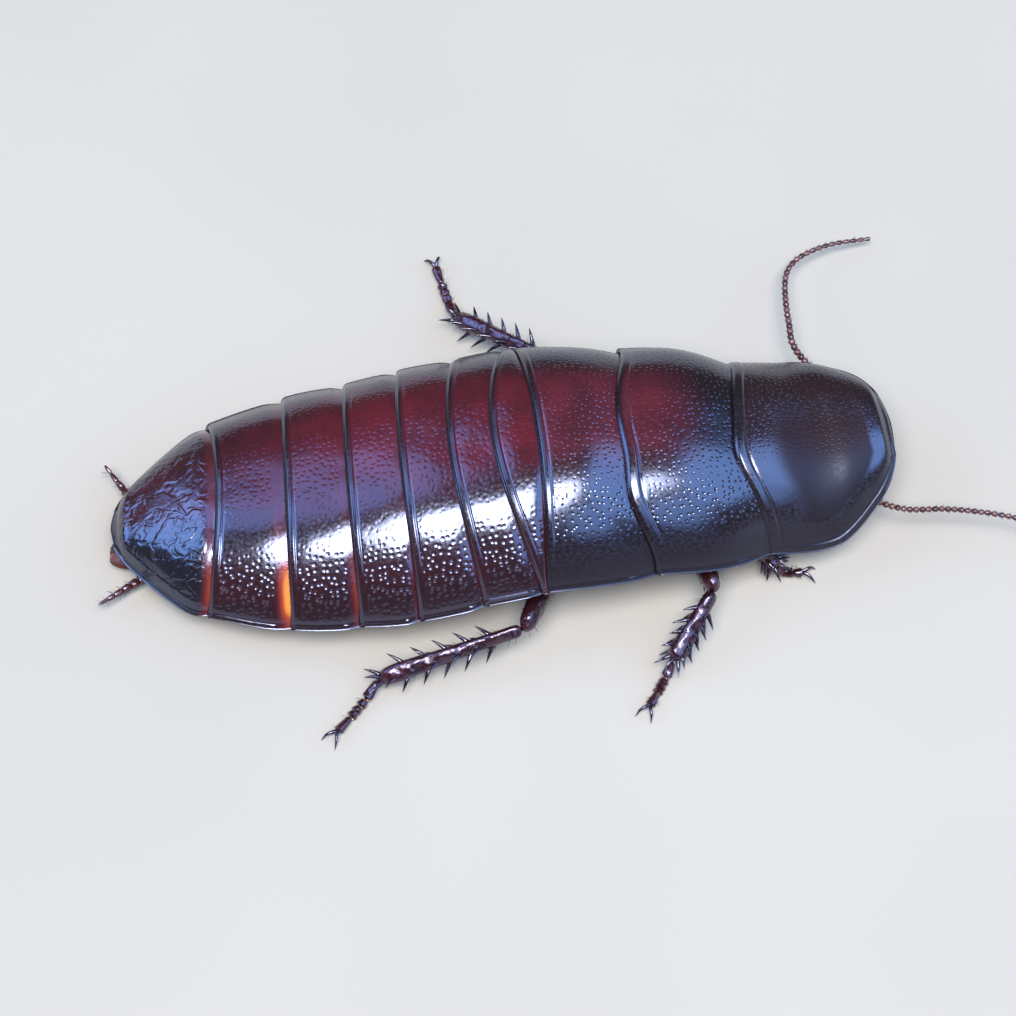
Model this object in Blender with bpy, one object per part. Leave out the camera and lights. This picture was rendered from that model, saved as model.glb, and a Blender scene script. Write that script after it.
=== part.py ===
"""Wood roach (Cryptocercus darwini), adult, life size, standing on its six feet.

The body frame has +X to the head, +Y to the animal's left and +Z up. Sizes are in millimetres, and each
finished mesh is scaled to metres. A place on the body is given by s, the distance from the tail tip along
the bent body axis, and t, which runs from -1 at the right margin to +1 at the left one.
"""

import math
import random

import bmesh
import bpy
from mathutils import Matrix, Vector

MM = 0.001
GAP = 0.28
WELD = 0.0005
SHARP_ANGLE = math.radians(40)
SEED = 11

# Body axis: an arc that passes the frame's origin at S_MIDDLE and bends to the left.
BODY_BEND = math.radians(0.38)
S_MIDDLE = 11.6

# Distance from the tail tip, half width, margin height, arch above the margin, belly height.
BODY = (
    (0.00, 0.40, 1.25, 0.10, 0.98),
    (0.25, 0.92, 1.26, 0.30, 0.95),
    (0.60, 1.42, 1.28, 0.52, 0.92),
    (1.20, 2.05, 1.31, 0.84, 0.90),
    (1.85, 2.68, 1.35, 1.14, 0.88),
    (2.50, 3.20, 1.39, 1.42, 0.87),
    (3.15, 3.50, 1.46, 1.62, 0.86),
    (5.72, 4.21, 1.68, 2.08, 0.90),
    (7.83, 4.42, 1.93, 2.34, 1.00),
    (9.65, 4.56, 2.28, 2.48, 1.12),
    (11.64, 4.50, 2.75, 2.46, 1.25),
    (13.51, 4.45, 3.12, 2.44, 1.60),
    (17.03, 4.16, 2.84, 2.24, 1.90),
    (18.80, 4.04, 2.58, 2.17, 1.98),
    (20.57, 3.62, 2.12, 2.14, 2.00),
)
# The same for the pronotum, which widens behind the head and closes in a blunt front edge.
PRONOTUM = (
    (19.80, 3.50, 2.24, 2.26, 1.75),
    (20.85, 3.54, 1.98, 2.18, 1.75),
    (22.10, 3.50, 1.74, 2.06, 1.75),
    (22.90, 3.40, 1.80, 1.91, 1.75),
    (23.40, 3.16, 1.98, 1.74, 1.75),
    (24.00, 2.72, 2.26, 1.36, 1.75),
    (24.60, 2.20, 2.56, 0.92, 1.75),
    (25.00, 1.56, 2.82, 0.52, 1.75),
    (25.25, 0.80, 2.96, 0.24, 1.75),
)
FRONT_TIP = 25.25
ARCH_POWER = 2.3
ARCH_ROUNDING = 0.7

# Hind margin of each plate: s on the midline, how far its corners lie forward of that, how early it bends.
HIND_MARGIN = {
    "pronotum": (20.15, 0.52, 2.4),
    "mesonotum": (16.30, 0.76, 2.6),
    "metanotum": (13.70, -0.19, 1.0),
    "abdomen_1": (12.30, 1.10, 1.0),
    "abdomen_2": (10.95, 0.69, 1.0),
    "abdomen_3": (9.40, 0.25, 1.0),
    "abdomen_4": (7.70, 0.13, 1.0),
    "abdomen_5": (5.75, -0.03, 1.0),
    "abdomen_6": (3.54, -0.39, 1.0),
}
PLATES = tuple(HIND_MARGIN)
STEP = 0.13
PLATE_EDGE = 0.34
PLATE_DEPTH = 0.62
FLANGE_START = 0.72
FLANGE_END = 0.86
UNDERSIDE_REACH = 0.93
CORNER_INSET = 0.05
CORNER_STRETCH = 0.35
FIRST_SEGMENT_REACH = 0.80
THORAX_REACH = 0.60
THORAX_RISE = 0.50
BELLY_RISE = 0.30
COLUMNS = 20
THORAX_COLUMNS = 12
THORAX_ROWS = 3
RING_ROWS = 4
THORAX_PLATE_ROWS = 5
PRONOTUM_ROWS = (0.0, 0.03, 0.09, 0.18, 0.3, 0.45, 0.6, 0.8, 1.0)
TAIL_ROWS = (0.0, 0.15, 0.32, 0.5, 0.66, 0.8, 0.91, 0.98, 1.0)
TAIL_PLATE_ENDS = (2.6, -0.22)
TAIL_PLATE_HALF_WIDTH = 1.0
TAIL_PLATE_SHIFT = 0.12
TAIL_PLATE_HEIGHT = 0.22
TAIL_PLATE_DEPTH = 0.32
TAIL_PLATE_TAPER = 0.75
TAIL_PLATE_CURL = 0.08
TAIL_PLATE_COLUMNS = 8
TAIL_PLATE_ROWS = (0.0, 0.3, 0.6, 0.82, 1.0)
# Front and hind ends of the plates under the thorax.
STERNA = {"prosternum": (22.2, 20.75), "mesosternum": (19.7, 16.8), "metasternum": (16.5, 13.9)}
DARK_PLATES = ("pronotum", "mesonotum", "metanotum", "abdomen_7")

# Legs: coxa start, coxa end, knee, tibia end and tarsus tip.
LEGS = {
    "front_left": (
        (10.3, 0.95, 1.28), (9.5, 1.35, 1.00), (9.3, 3.00, 1.50), (10.1, 3.35, 0.60), (11.2, 3.55, 0.22),
    ),
    "front_right": (
        (10.2, -0.75, 1.28), (9.4, -1.15, 1.00), (8.9, -2.75, 1.40), (9.5, -3.05, 0.60), (10.4, -3.20, 0.22),
    ),
    "middle_left": (
        (8.9, 0.95, 1.45), (6.9, 1.50, 1.00), (7.6, 3.95, 1.60), (6.0, 4.90, 0.60), (4.7, 5.30, 0.22),
    ),
    "middle_right": (
        (8.8, -0.95, 1.45), (6.8, -1.50, 1.05), (7.3, -4.29, 1.75), (5.77, -6.08, 0.60), (4.87, -7.39, 0.22),
    ),
    "hind_left": (
        (5.1, 0.95, 1.35), (3.0, 1.60, 1.00), (3.30, 4.65, 1.90), (0.29, 7.58, 0.60), (-0.17, 10.00, 0.22),
    ),
    "hind_right": (
        (5.0, -0.95, 1.35), (2.9, -1.60, 1.00), (1.17, -5.01, 1.75), (-3.54, -5.7, 0.60), (-5.0, -7.2, 0.22),
    ),
}
# Half width and half depth of each long piece, then its profile: how far along, and share of that size.
COXA_SIZE = (0.80, 0.36)
FEMUR_SIZE = {"front": (0.34, 0.46), "middle": (0.34, 0.48), "hind": (0.36, 0.54)}
TIBIA_SIZE = {"front": (0.27, 0.30), "middle": (0.28, 0.33), "hind": (0.30, 0.36)}
COXA_PROFILE = ((0.0, 0.62), (0.12, 0.86), (0.4, 1.0), (0.75, 0.82), (0.93, 0.6), (1.0, 0.42))
FEMUR_PROFILE = ((0.0, 0.5), (0.10, 0.78), (0.38, 1.0), (0.75, 0.86), (0.93, 0.72), (1.0, 0.46))
TIBIA_PROFILE = ((0.0, 0.66), (0.08, 0.82), (0.5, 0.86), (0.88, 1.06), (1.0, 0.84))
# How far a piece runs on past its joint, and how far past the joint the next one starts.
COXA_PAST = 0.14
KNEE_PAST = 0.12
FEMUR_SET_BACK = 0.72
TIBIA_SET_BACK = 0.62
TARSUS_SET_BACK = 0.44
CURVE_STEPS = 12
LIMB_SIDES = 10
TIBIA_SPINE_ROWS = (35, 145, 215, 325)
TIBIA_SPINES_IN_ROW = {"front": 2, "middle": 3, "hind": 4}
SPINE_LENGTH = {"front": 0.50, "middle": 0.62, "hind": 0.68}
SPINE_RADIUS = 0.14
SPINE_TIP_SHARE = 0.12
SPINE_SIDES = 5
SPINE_VARIATION = 0.1
SPINE_ROOT_DEPTH = 0.30
SPINE_LEAN = 0.62
SPINE_FIRST = 0.22
SPINE_SPREAD = 0.70
SPINE_FLOOR = 0.12
TARSUS_RADIUS = 0.25
TARSUS_WAIST = 0.8
TARSOMERE_LENGTH = 0.30
TARSUS_BEND = 0.38
CLAW_LENGTH = 0.5
CLAW_BEND = 0.55
CLAW_RADII = (0.12, 0.10, 0.05)
CLAW_TIP_HEIGHT = 0.10
CLAW_ARCH = 0.03
CLAW_HOOK = 0.08
CLAW_SPREAD = 34

# Head: from the crown under the pronotum down and back to the mouth.
CROWN = Vector((12.40, 0.15, 2.72))
MOUTH = Vector((11.25, 0.12, 1.05))
HEAD_SIZE = (1.32, 0.70)
HEAD_PROFILE = (
    (0.0, 0.35), (0.08, 0.68), (0.25, 0.94), (0.45, 1.0), (0.68, 0.88), (0.88, 0.66), (1.0, 0.5),
)
HEAD_SIDES = 18
EYE_SIZE = (0.34, 0.26, 0.50)
EYE_SIDES = 12
EYE_RINGS = 8
EYE_PLACE = 0.34
EYE_FORWARD = 0.10
EYE_SOCKET_GAP = 0.22
LIP_SIZE = (0.48, 0.13)
JAW_SIZE = (0.18, 0.15)
LIP_PROFILE = ((0.0, 1.0), (0.6, 0.9), (1.0, 0.5))
# Where the lip, jaws and chin palps start: forward, out and down from the mouth, in the head's directions.
LIP_START = (0.28, 0.0, GAP)
LIP_LENGTH = 0.42
JAW_START = (-0.16, 0.28, GAP)
JAW_LENGTH = 0.36
JAW_CLOSING = 0.08
CHIN_PALP_START = (-0.50, 0.66, 0.44)
# Where the cheek palps start, in the body's directions, and the two stretches of each palp after its start.
CHEEK_PALP_START = (0.16, 1.16, 0.10)
CHEEK_PALP_STRETCHES = ((0.45, 0.40, -0.38), (0.80, -0.10, -0.25))
CHIN_PALP_STRETCHES = ((0.20, 0.12, -0.08), (0.60, 0.12, 0.0))
PALP_PITCH = 0.26
PALP_RADIUS = 0.21
PALP_WAIST = 0.8
PALP_TIP_SHARE = 0.6
ANTENNA_RADIUS = 0.25
ANTENNA_TIP_RADIUS = 0.15
BEAD_PITCH = 0.46
BEAD_WAIST = 0.72
ANTENNAE = {
    "left": (
        (13.00, 0.90, 1.58), (12.85, 2.00, 1.48), (11.95, 3.40, 1.40), (11.30, 4.60, 1.42),
        (11.27, 5.60, 1.36), (11.35, 6.90, 1.25), (11.60, 7.90, 1.10), (12.20, 8.55, 0.95),
        (13.30, 9.05, 0.75), (14.70, 9.30, 0.50),
    ),
    "right": (
        (13.00, -0.60, 1.56), (12.90, -1.42, 1.50), (13.85, -1.95, 1.52), (15.10, -2.08, 1.50),
        (16.20, -2.28, 1.45), (17.35, -2.61, 1.40), (18.70, -3.15, 1.25), (20.10, -3.95, 1.00),
        (21.30, -4.95, 0.70), (22.10, -6.10, 0.45),
    ),
}
ANTENNA_LENGTHS = (("base", 0.0, 0.10), ("middle", 0.10, 0.52), ("tip", 0.52, 1.0))

CERCI = {
    "left": ((-10.75, 1.45, 0.45), (-11.75, 3.05, 0.75)),
    "right": ((-10.90, -1.25, 0.45), (-12.20, -2.10, 0.70)),
}
CERCUS_RADIUS = 0.26
CERCUS_WAIST = 0.86
CERCUS_TAPER = 0.7
CERCUS_RINGS = 6

COLOURS = {
    "cuticle": (0.050, 0.012, 0.010, 0.28, 0.0),
    "dark_cuticle": (0.022, 0.010, 0.012, 0.30, 0.0),
    "belly": (0.120, 0.032, 0.014, 0.40, 0.0),
    "limb": (0.085, 0.018, 0.012, 0.32, 0.0),
    "eye": (0.006, 0.005, 0.006, 0.18, 0.0),
}

rng = random.Random(SEED)


def clear_scene():
    for obj in list(bpy.data.objects):
        bpy.data.objects.remove(obj, do_unlink=True)


def make_material(name):
    red, green, blue, roughness, metallic = COLOURS[name]
    material = bpy.data.materials.new(name)
    material.use_nodes = True
    shader = material.node_tree.nodes["Principled BSDF"]
    shader.inputs["Base Color"].default_value = (red, green, blue, 1.0)
    shader.inputs["Roughness"].default_value = roughness
    shader.inputs["Metallic"].default_value = metallic
    material.diffuse_color = (red, green, blue, 1.0)
    return material


# Body surface


def smooth_value(table, s, column):
    """A smooth curve through one column of a station table."""
    rows = [(row[0], row[column]) for row in table]
    if s <= rows[0][0]:
        return rows[0][1]
    if s >= rows[-1][0]:
        return rows[-1][1]
    k = max(i for i in range(len(rows) - 1) if rows[i][0] <= s)
    before, start, end, after = rows[max(k - 1, 0)], rows[k], rows[k + 1], rows[min(k + 2, len(rows) - 1)]
    span = end[0] - start[0]
    slope_start = (end[1] - before[1]) / (end[0] - before[0])
    slope_end = (after[1] - start[1]) / (after[0] - start[0])
    u = (s - start[0]) / span
    return (
        start[1] * (1 + 2 * u) * (1 - u) ** 2
        + slope_start * span * u * (1 - u) ** 2
        + end[1] * u * u * (3 - 2 * u)
        + slope_end * span * u * u * (u - 1)
    )


def on_body(s, y, z):
    """The point at distance s along the bent axis, y to its left and z above the floor."""
    turn = BODY_BEND * (s - S_MIDDLE)
    x_axis = math.sin(turn) / BODY_BEND
    y_axis = (1 - math.cos(turn)) / BODY_BEND
    return Vector((x_axis - y * math.sin(turn), y_axis + y * math.cos(turn), z))


def arch_shape(t):
    return (1 - min(abs(t), 1.0) ** ARCH_POWER) ** ARCH_ROUNDING


def top_height(table, s, t):
    return smooth_value(table, s, 2) + smooth_value(table, s, 3) * arch_shape(t)


def plate_underside(table, s, t):
    arch = max(smooth_value(table, s, 3) - (PLATE_DEPTH - PLATE_EDGE), 0.0)
    return smooth_value(table, s, 2) - PLATE_EDGE + arch * arch_shape(t / UNDERSIDE_REACH)


def belly_height(table, s, t):
    """Underside of an abdominal segment: a rounded belly between two thin side flanges."""
    belly = smooth_value(table, s, 4)
    flange = smooth_value(table, s, 2) - PLATE_EDGE
    u = min(max((abs(t) - FLANGE_START) / (FLANGE_END - FLANGE_START), 0.0), 1.0)
    blend = u * u * (3 - 2 * u)
    rounded = belly + BELLY_RISE * min(abs(t) / FLANGE_START, 1.0) ** 4
    return min(rounded, flange) * (1 - blend) + flange * blend


def hind_line(plate, t):
    s_middle, forward, bend = HIND_MARGIN[plate]
    return s_middle + forward * (1 - (1 - min(t * t, 1.0)) ** bend)


def columns(count, reach):
    """Places across the body, closer together towards the margins."""
    return [reach * math.sin(math.pi * (k / count - 0.5)) for k in range(count + 1)]


def even(count):
    return [k / count for k in range(count + 1)]


def heightfield(across, along, place):
    """A closed body between a top and an underside that share their outline: place gives both points."""
    bm = bmesh.new()
    tops, unders = [], []
    for fraction in along:
        pairs = [place(fraction, t) for t in across]
        tops.append([bm.verts.new(pair[0]) for pair in pairs])
        unders.append([bm.verts.new(pair[1]) for pair in pairs])
    last_row, last_column = len(along) - 1, len(across) - 1
    for i in range(last_row):
        for j in range(last_column):
            bm.faces.new((tops[i][j], tops[i][j + 1], tops[i + 1][j + 1], tops[i + 1][j]))
            bm.faces.new((unders[i][j], unders[i + 1][j], unders[i + 1][j + 1], unders[i][j + 1]))
        for j in (0, last_column):
            bm.faces.new((tops[i][j], tops[i + 1][j], unders[i + 1][j], unders[i][j]))
    for i in (0, last_row):
        for j in range(last_column):
            bm.faces.new((tops[i][j], tops[i][j + 1], unders[i][j + 1], unders[i][j]))
    bmesh.ops.triangulate(bm, faces=bm.faces)
    bmesh.ops.recalc_face_normals(bm, faces=bm.faces)
    return bm


def scallop(fraction):
    """Each plate is a little narrower at its front corners than at its hind ones."""
    return 1 - CORNER_INSET * max(1 - fraction / CORNER_STRETCH, 0.0) ** 2


def ring(table, front, hind, underside, along, reach=1.0):
    """A piece of the body from its front line to its hind line, with its hind edge raised by a step."""

    def place(fraction, t):
        s = front(t) * (1 - fraction) + hind(t) * fraction
        y = t * smooth_value(table, s, 1) * scallop(fraction)
        top = top_height(table, s, t) + STEP * fraction
        return on_body(s, y, top), on_body(s, y, underside(table, s, t))

    return heightfield(columns(COLUMNS, reach), along, place)


def behind(plate):
    """The front line of the plate that follows this one, a gap behind its hind margin."""
    return lambda t: hind_line(plate, t) - GAP


def back_pieces():
    """The pronotum, the two other thorax plates and the seven rings of the abdomen."""
    pieces = {
        "pronotum": ring(
            PRONOTUM, lambda t: FRONT_TIP, lambda t: hind_line("pronotum", t), plate_underside, PRONOTUM_ROWS
        )
    }
    for before, plate in zip(PLATES, PLATES[1:]):
        thorax = plate.endswith("notum")
        pieces[plate] = ring(
            BODY,
            behind(before),
            lambda t: hind_line(plate, t),
            plate_underside if thorax else belly_height,
            even(THORAX_PLATE_ROWS if thorax else RING_ROWS),
            FIRST_SEGMENT_REACH if plate == "abdomen_1" else 1.0,
        )
    pieces["abdomen_7"] = ring(BODY, behind("abdomen_6"), lambda t: 0.0, belly_height, TAIL_ROWS)
    return pieces


def thorax_block(table, s_front, s_hind):
    """The side and underside of one thorax segment, one gap below its back plate."""

    def place(fraction, t):
        s = s_front * (1 - fraction) + s_hind * fraction
        y = t * smooth_value(table, s, 1)
        top = plate_underside(table, s, t) - GAP
        under = smooth_value(table, s, 4) + THORAX_RISE * (t / THORAX_REACH) ** 4
        return on_body(s, y, top), on_body(s, y, under)

    return heightfield(columns(THORAX_COLUMNS, THORAX_REACH), even(THORAX_ROWS), place)


def subgenital_plate():
    """The plate under the tail, which just shows past it."""
    s_front, s_hind = TAIL_PLATE_ENDS

    def place(fraction, t):
        s = s_front * (1 - fraction) + s_hind * fraction
        y = t * TAIL_PLATE_HALF_WIDTH * (1 - TAIL_PLATE_TAPER * fraction**3) - TAIL_PLATE_SHIFT
        under = TAIL_PLATE_HEIGHT + TAIL_PLATE_CURL * t * t + TAIL_PLATE_CURL * fraction**2
        return on_body(s, y, under + TAIL_PLATE_DEPTH), on_body(s, y, under)

    return heightfield(columns(TAIL_PLATE_COLUMNS, 1.0), TAIL_PLATE_ROWS, place)


# Limbs


def limb(start, end, size, profile, sides=LIMB_SIDES, up=Vector((0, 0, 1))):
    """A tapered piece with oval sections: size is the half width and the half depth, which lies along up."""
    axis = end - start
    side = axis.cross(up).normalized()
    depth = side.cross(axis).normalized()
    bm = bmesh.new()
    rings = []
    for fraction, factor in profile:
        centre = start + axis * fraction
        ring = []
        for k in range(sides):
            angle = 2 * math.pi * k / sides
            offset = side * (size[0] * math.cos(angle)) + depth * (size[1] * math.sin(angle))
            ring.append(bm.verts.new(centre + offset * factor))
        rings.append(ring)
    for first, second in zip(rings, rings[1:]):
        for k in range(sides):
            bm.faces.new((first[k], first[k - 1], second[k - 1], second[k]))
    bm.faces.new(rings[0])
    bm.faces.new(rings[-1])
    bmesh.ops.recalc_face_normals(bm, faces=bm.faces)
    return bm


def mesh_object(bm, name, collection):
    mesh = bpy.data.meshes.new(name)
    bm.to_mesh(mesh)
    bm.free()
    obj = bpy.data.objects.new(name, mesh)
    collection.objects.link(obj)
    return obj


def evaluated_bmesh(obj):
    """The object's mesh with its bevel or modifiers, its loose caps welded."""
    graph = bpy.context.evaluated_depsgraph_get()
    mesh = bpy.data.meshes.new_from_object(obj.evaluated_get(graph))
    bm = bmesh.new()
    bm.from_mesh(mesh)
    bpy.data.meshes.remove(mesh)
    bmesh.ops.remove_doubles(bm, verts=bm.verts, dist=WELD)
    return bm


def tube(points, radii, bevel_resolution=1):
    """A round piece along points, as a bevelled curve with a radius at each point."""
    curve = bpy.data.curves.new("tube", "CURVE")
    curve.dimensions = "3D"
    curve.bevel_depth = 1.0
    curve.bevel_resolution = bevel_resolution
    curve.use_fill_caps = True
    spline = curve.splines.new("POLY")
    spline.points.add(len(points) - 1)
    for spot, point, radius in zip(spline.points, points, radii):
        spot.co = (*point, 1.0)
        spot.radius = radius
    obj = bpy.data.objects.new("tube", curve)
    bpy.context.scene.collection.objects.link(obj)
    bm = evaluated_bmesh(obj)
    bpy.data.objects.remove(obj, do_unlink=True)
    bmesh.ops.recalc_face_normals(bm, faces=bm.faces)
    return bm


def spine(root, tip, radius):
    axis = tip - root
    bm = bmesh.new()
    bmesh.ops.create_cone(
        bm,
        cap_ends=True,
        segments=SPINE_SIDES,
        radius1=radius,
        radius2=radius * SPINE_TIP_SHARE,
        depth=axis.length,
    )
    turn = axis.to_track_quat("Z", "Y").to_matrix().to_4x4()
    bmesh.ops.transform(bm, matrix=Matrix.Translation((root + tip) / 2) @ turn, verts=bm.verts)
    return bm


def keep_largest(bm):
    """Keep only the closed surface with the most faces."""
    bm.faces.ensure_lookup_table()
    unseen = set(bm.faces)
    shells = []
    while unseen:
        shell, queue = set(), [unseen.pop()]
        while queue:
            face = queue.pop()
            shell.add(face)
            for edge in face.edges:
                for other in edge.link_faces:
                    if other in unseen:
                        unseen.remove(other)
                        queue.append(other)
        shells.append(shell)
    largest = max(shells, key=len)
    extra = [face for shell in shells if shell is not largest for face in shell]
    bmesh.ops.delete(bm, geom=extra, context="FACES")
    bmesh.ops.delete(bm, geom=[vert for vert in bm.verts if not vert.link_faces], context="VERTS")


def combine(pieces, operation="UNION"):
    """One Boolean on closed pieces, applied: the first one, joined with or cut by the rest."""
    scene_collection = bpy.context.scene.collection
    workshop = bpy.data.collections.new("workshop")
    scene_collection.children.link(workshop)
    base = mesh_object(pieces[0], "base", scene_collection)
    for piece in pieces[1:]:
        mesh_object(piece, "piece", workshop)
    modifier = base.modifiers.new("Combine", "BOOLEAN")
    modifier.operation = operation
    modifier.operand_type = "COLLECTION"
    modifier.collection = workshop
    modifier.solver = "EXACT"
    bm = evaluated_bmesh(base)
    for obj in list(workshop.objects) + [base]:
        bpy.data.objects.remove(obj, do_unlink=True)
    bpy.data.collections.remove(workshop)
    keep_largest(bm)
    bmesh.ops.triangulate(bm, faces=bm.faces)
    return bm


def smooth_path(points, spacing):
    """Points at an even spacing along a smooth curve through the given points."""
    rows = [Vector(point) for point in points]
    fine = []
    for k in range(len(rows) - 1):
        before, start = rows[max(k - 1, 0)], rows[k]
        end, after = rows[k + 1], rows[min(k + 2, len(rows) - 1)]
        for step in range(CURVE_STEPS):
            u = step / CURVE_STEPS
            bend = (2 * start - 2 * end + (end - before) / 2 + (after - start) / 2) * u**3
            lean = (3 * end - 3 * start - (end - before) - (after - start) / 2) * u**2
            fine.append(start + (end - before) / 2 * u + lean + bend)
    fine.append(rows[-1])
    lengths = [0.0]
    for first, second in zip(fine, fine[1:]):
        lengths.append(lengths[-1] + (second - first).length)
    count = max(round(lengths[-1] / spacing), 1)
    path, k = [], 0
    for n in range(count + 1):
        wanted = lengths[-1] * n / count
        while k < len(fine) - 2 and lengths[k + 1] < wanted:
            k += 1
        part = (wanted - lengths[k]) / max(lengths[k + 1] - lengths[k], 1e-9)
        path.append(fine[k].lerp(fine[k + 1], part))
    return path


# Legs


def toward(start, end, distance):
    return start + (end - start).normalized() * distance


def tibia_spines(pair, start, end, size):
    """Strong spines in four rows, each leaning towards the foot, and none through the floor."""
    axis = (end - start).normalized()
    side = axis.cross(Vector((0, 0, 1))).normalized()
    depth = side.cross(axis)
    rows = TIBIA_SPINES_IN_ROW[pair]
    spines = []
    for row, degrees in enumerate(TIBIA_SPINE_ROWS):
        angle = math.radians(degrees)
        out = side * math.cos(angle) + depth * math.sin(angle)
        for k in range(rows):
            along = SPINE_FIRST + SPINE_SPREAD * (k + 0.5 * (row % 2)) / rows
            centre = start.lerp(end, along)
            root = centre + out * (SPINE_ROOT_DEPTH * size[0])
            length = SPINE_LENGTH[pair] * rng.uniform(1 - SPINE_VARIATION, 1 + SPINE_VARIATION)
            reach = SPINE_LEAN * length
            tip = centre + out * (size[0] + reach) + axis * reach
            if tip.z > SPINE_FLOOR:
                spines.append(spine(root, tip, SPINE_RADIUS))
    return spines


def tarsus(start, tip):
    """A row of short joints and two claws, cut to a flat at the floor."""
    low = start.lerp(tip, TARSUS_BEND)
    low.z = TARSUS_RADIUS
    joints = smooth_path((start, low, tip), TARSOMERE_LENGTH)
    beads = [TARSUS_RADIUS * (TARSUS_WAIST if k % 2 else 1.0) for k in range(len(joints))]
    pieces = [tube(joints, beads, 2)]
    forward = (tip - low).normalized()
    for turn in (-CLAW_SPREAD, CLAW_SPREAD):
        out = Matrix.Rotation(math.radians(turn), 3, "Z") @ forward
        middle = tip + out * (CLAW_LENGTH * CLAW_BEND)
        middle.z += CLAW_ARCH
        end = tip + out * CLAW_LENGTH + forward * CLAW_HOOK
        end.z = CLAW_TIP_HEIGHT
        pieces.append(tube((tip - forward * CLAW_RADII[0], middle, end), CLAW_RADII))
    bm = combine(pieces)
    cut = bmesh.ops.bisect_plane(
        bm,
        geom=bm.verts[:] + bm.edges[:] + bm.faces[:],
        plane_co=(0, 0, 0),
        plane_no=(0, 0, 1),
        clear_inner=True,
    )
    rim = [item for item in cut["geom_cut"] if isinstance(item, bmesh.types.BMEdge)]
    bmesh.ops.contextual_create(bm, geom=rim)
    bmesh.ops.triangulate(bm, faces=bm.faces)
    bmesh.ops.recalc_face_normals(bm, faces=bm.faces)
    return bm


def leg(place):
    """The four nodes of one leg, each starting one gap past the rounded end of the one before."""
    pair = place.split("_")[0]
    top, trochanter, knee, ankle, tip = (Vector(point) for point in LEGS[place])
    femur_start = toward(trochanter, knee, FEMUR_SET_BACK)
    femur_end = toward(knee, trochanter, -KNEE_PAST)
    tibia_start = toward(knee, ankle, TIBIA_SET_BACK)
    shank = limb(tibia_start, ankle, TIBIA_SIZE[pair], TIBIA_PROFILE)
    nodes = {
        "coxa": limb(top, toward(trochanter, top, -COXA_PAST), COXA_SIZE, COXA_PROFILE),
        "femur": limb(femur_start, femur_end, FEMUR_SIZE[pair], FEMUR_PROFILE),
        "tibia": combine([shank] + tibia_spines(pair, tibia_start, ankle, TIBIA_SIZE[pair])),
        "tarsus": tarsus(toward(ankle, tip, TARSUS_SET_BACK), tip),
    }
    return {f"leg_{place}_{part}": bm for part, bm in nodes.items()}


# Head


def eye(side, grow=0.0):
    """An upright oval eye, sunk in the side of the head, or its socket, which is larger by grow."""
    centre = CROWN.lerp(MOUTH, EYE_PLACE) + Vector((EYE_FORWARD, side * HEAD_SIZE[0], 0.0))
    lean = (CROWN - MOUTH).to_track_quat("Z", "Y").to_matrix().to_4x4()
    size = Matrix.Diagonal((EYE_SIZE[0] + grow, EYE_SIZE[1] + grow, EYE_SIZE[2] + grow, 1.0))
    swap = Matrix.Rotation(math.pi / 2, 4, "Z")
    bm = bmesh.new()
    bmesh.ops.create_uvsphere(bm, u_segments=EYE_SIDES, v_segments=EYE_RINGS, radius=1.0)
    bmesh.ops.transform(bm, matrix=Matrix.Translation(centre) @ lean @ swap @ size, verts=bm.verts)
    return bm


def head():
    skull = limb(CROWN, MOUTH, HEAD_SIZE, HEAD_PROFILE, sides=HEAD_SIDES, up=Vector((1, 0, 0)))
    sockets = [eye(side, EYE_SOCKET_GAP) for side in (-1, 1)]
    return combine([skull] + sockets, "DIFFERENCE")


def antenna(side):
    """A string of beads in three lengths, thinner towards the tip."""
    path = smooth_path(ANTENNAE[side], BEAD_PITCH / 2)
    last = len(path) - 1
    nodes = {}
    for part, start, end in ANTENNA_LENGTHS:
        first = round(start * last) + (2 if start > 0 else 0)
        stretch = range(first, round(end * last) + 1)
        radii = []
        for k in stretch:
            thin = ANTENNA_RADIUS + (ANTENNA_TIP_RADIUS - ANTENNA_RADIUS) * (k / last) ** 2
            radii.append(thin * (1.0 if k % 2 == 0 else BEAD_WAIST))
        nodes[f"antenna_{side}_{part}"] = tube([path[k] for k in stretch], radii)
    return nodes


def mouthparts():
    """Upper lip, jaws and the two pairs of palps, hanging from the mouth."""
    down = (MOUTH - CROWN).normalized()
    front = Vector((-down.z, 0, down.x))

    def by_mouth(forward, out, below):
        return MOUTH + down * below + front * forward + Vector((0, out, 0))

    lip = by_mouth(*LIP_START)
    nodes = {"labrum": limb(lip, lip + down * LIP_LENGTH, LIP_SIZE, LIP_PROFILE, up=front)}
    for side, y in (("left", 1), ("right", -1)):
        forward, out, below = JAW_START
        jaw = by_mouth(forward, y * out, below)
        jaw_tip = jaw + down * JAW_LENGTH - Vector((0, y * JAW_CLOSING, 0))
        nodes[f"mandible_{side}"] = limb(jaw, jaw_tip, JAW_SIZE, LIP_PROFILE, up=front)
        forward, out, up = CHEEK_PALP_START
        cheek = MOUTH + Vector((forward, y * out, up))
        nodes[f"maxillary_palp_{side}"] = palp(cheek, CHEEK_PALP_STRETCHES, y)
        forward, out, below = CHIN_PALP_START
        chin = by_mouth(forward, y * out, below)
        nodes[f"labial_palp_{side}"] = palp(chin, CHIN_PALP_STRETCHES, y)
    return nodes


def palp(start, stretches, y):
    """A short jointed feeler with a rounded last joint, mirrored where y is -1."""
    points = [start]
    for forward, out, up in stretches:
        points.append(points[-1] + Vector((forward, y * out, up)))
    path = smooth_path(points, PALP_PITCH)
    radii = [PALP_RADIUS * (1.0 if k % 2 else PALP_WAIST) for k in range(len(path))]
    radii[-1] = PALP_RADIUS * PALP_TIP_SHARE
    return tube(path, radii)


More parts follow.
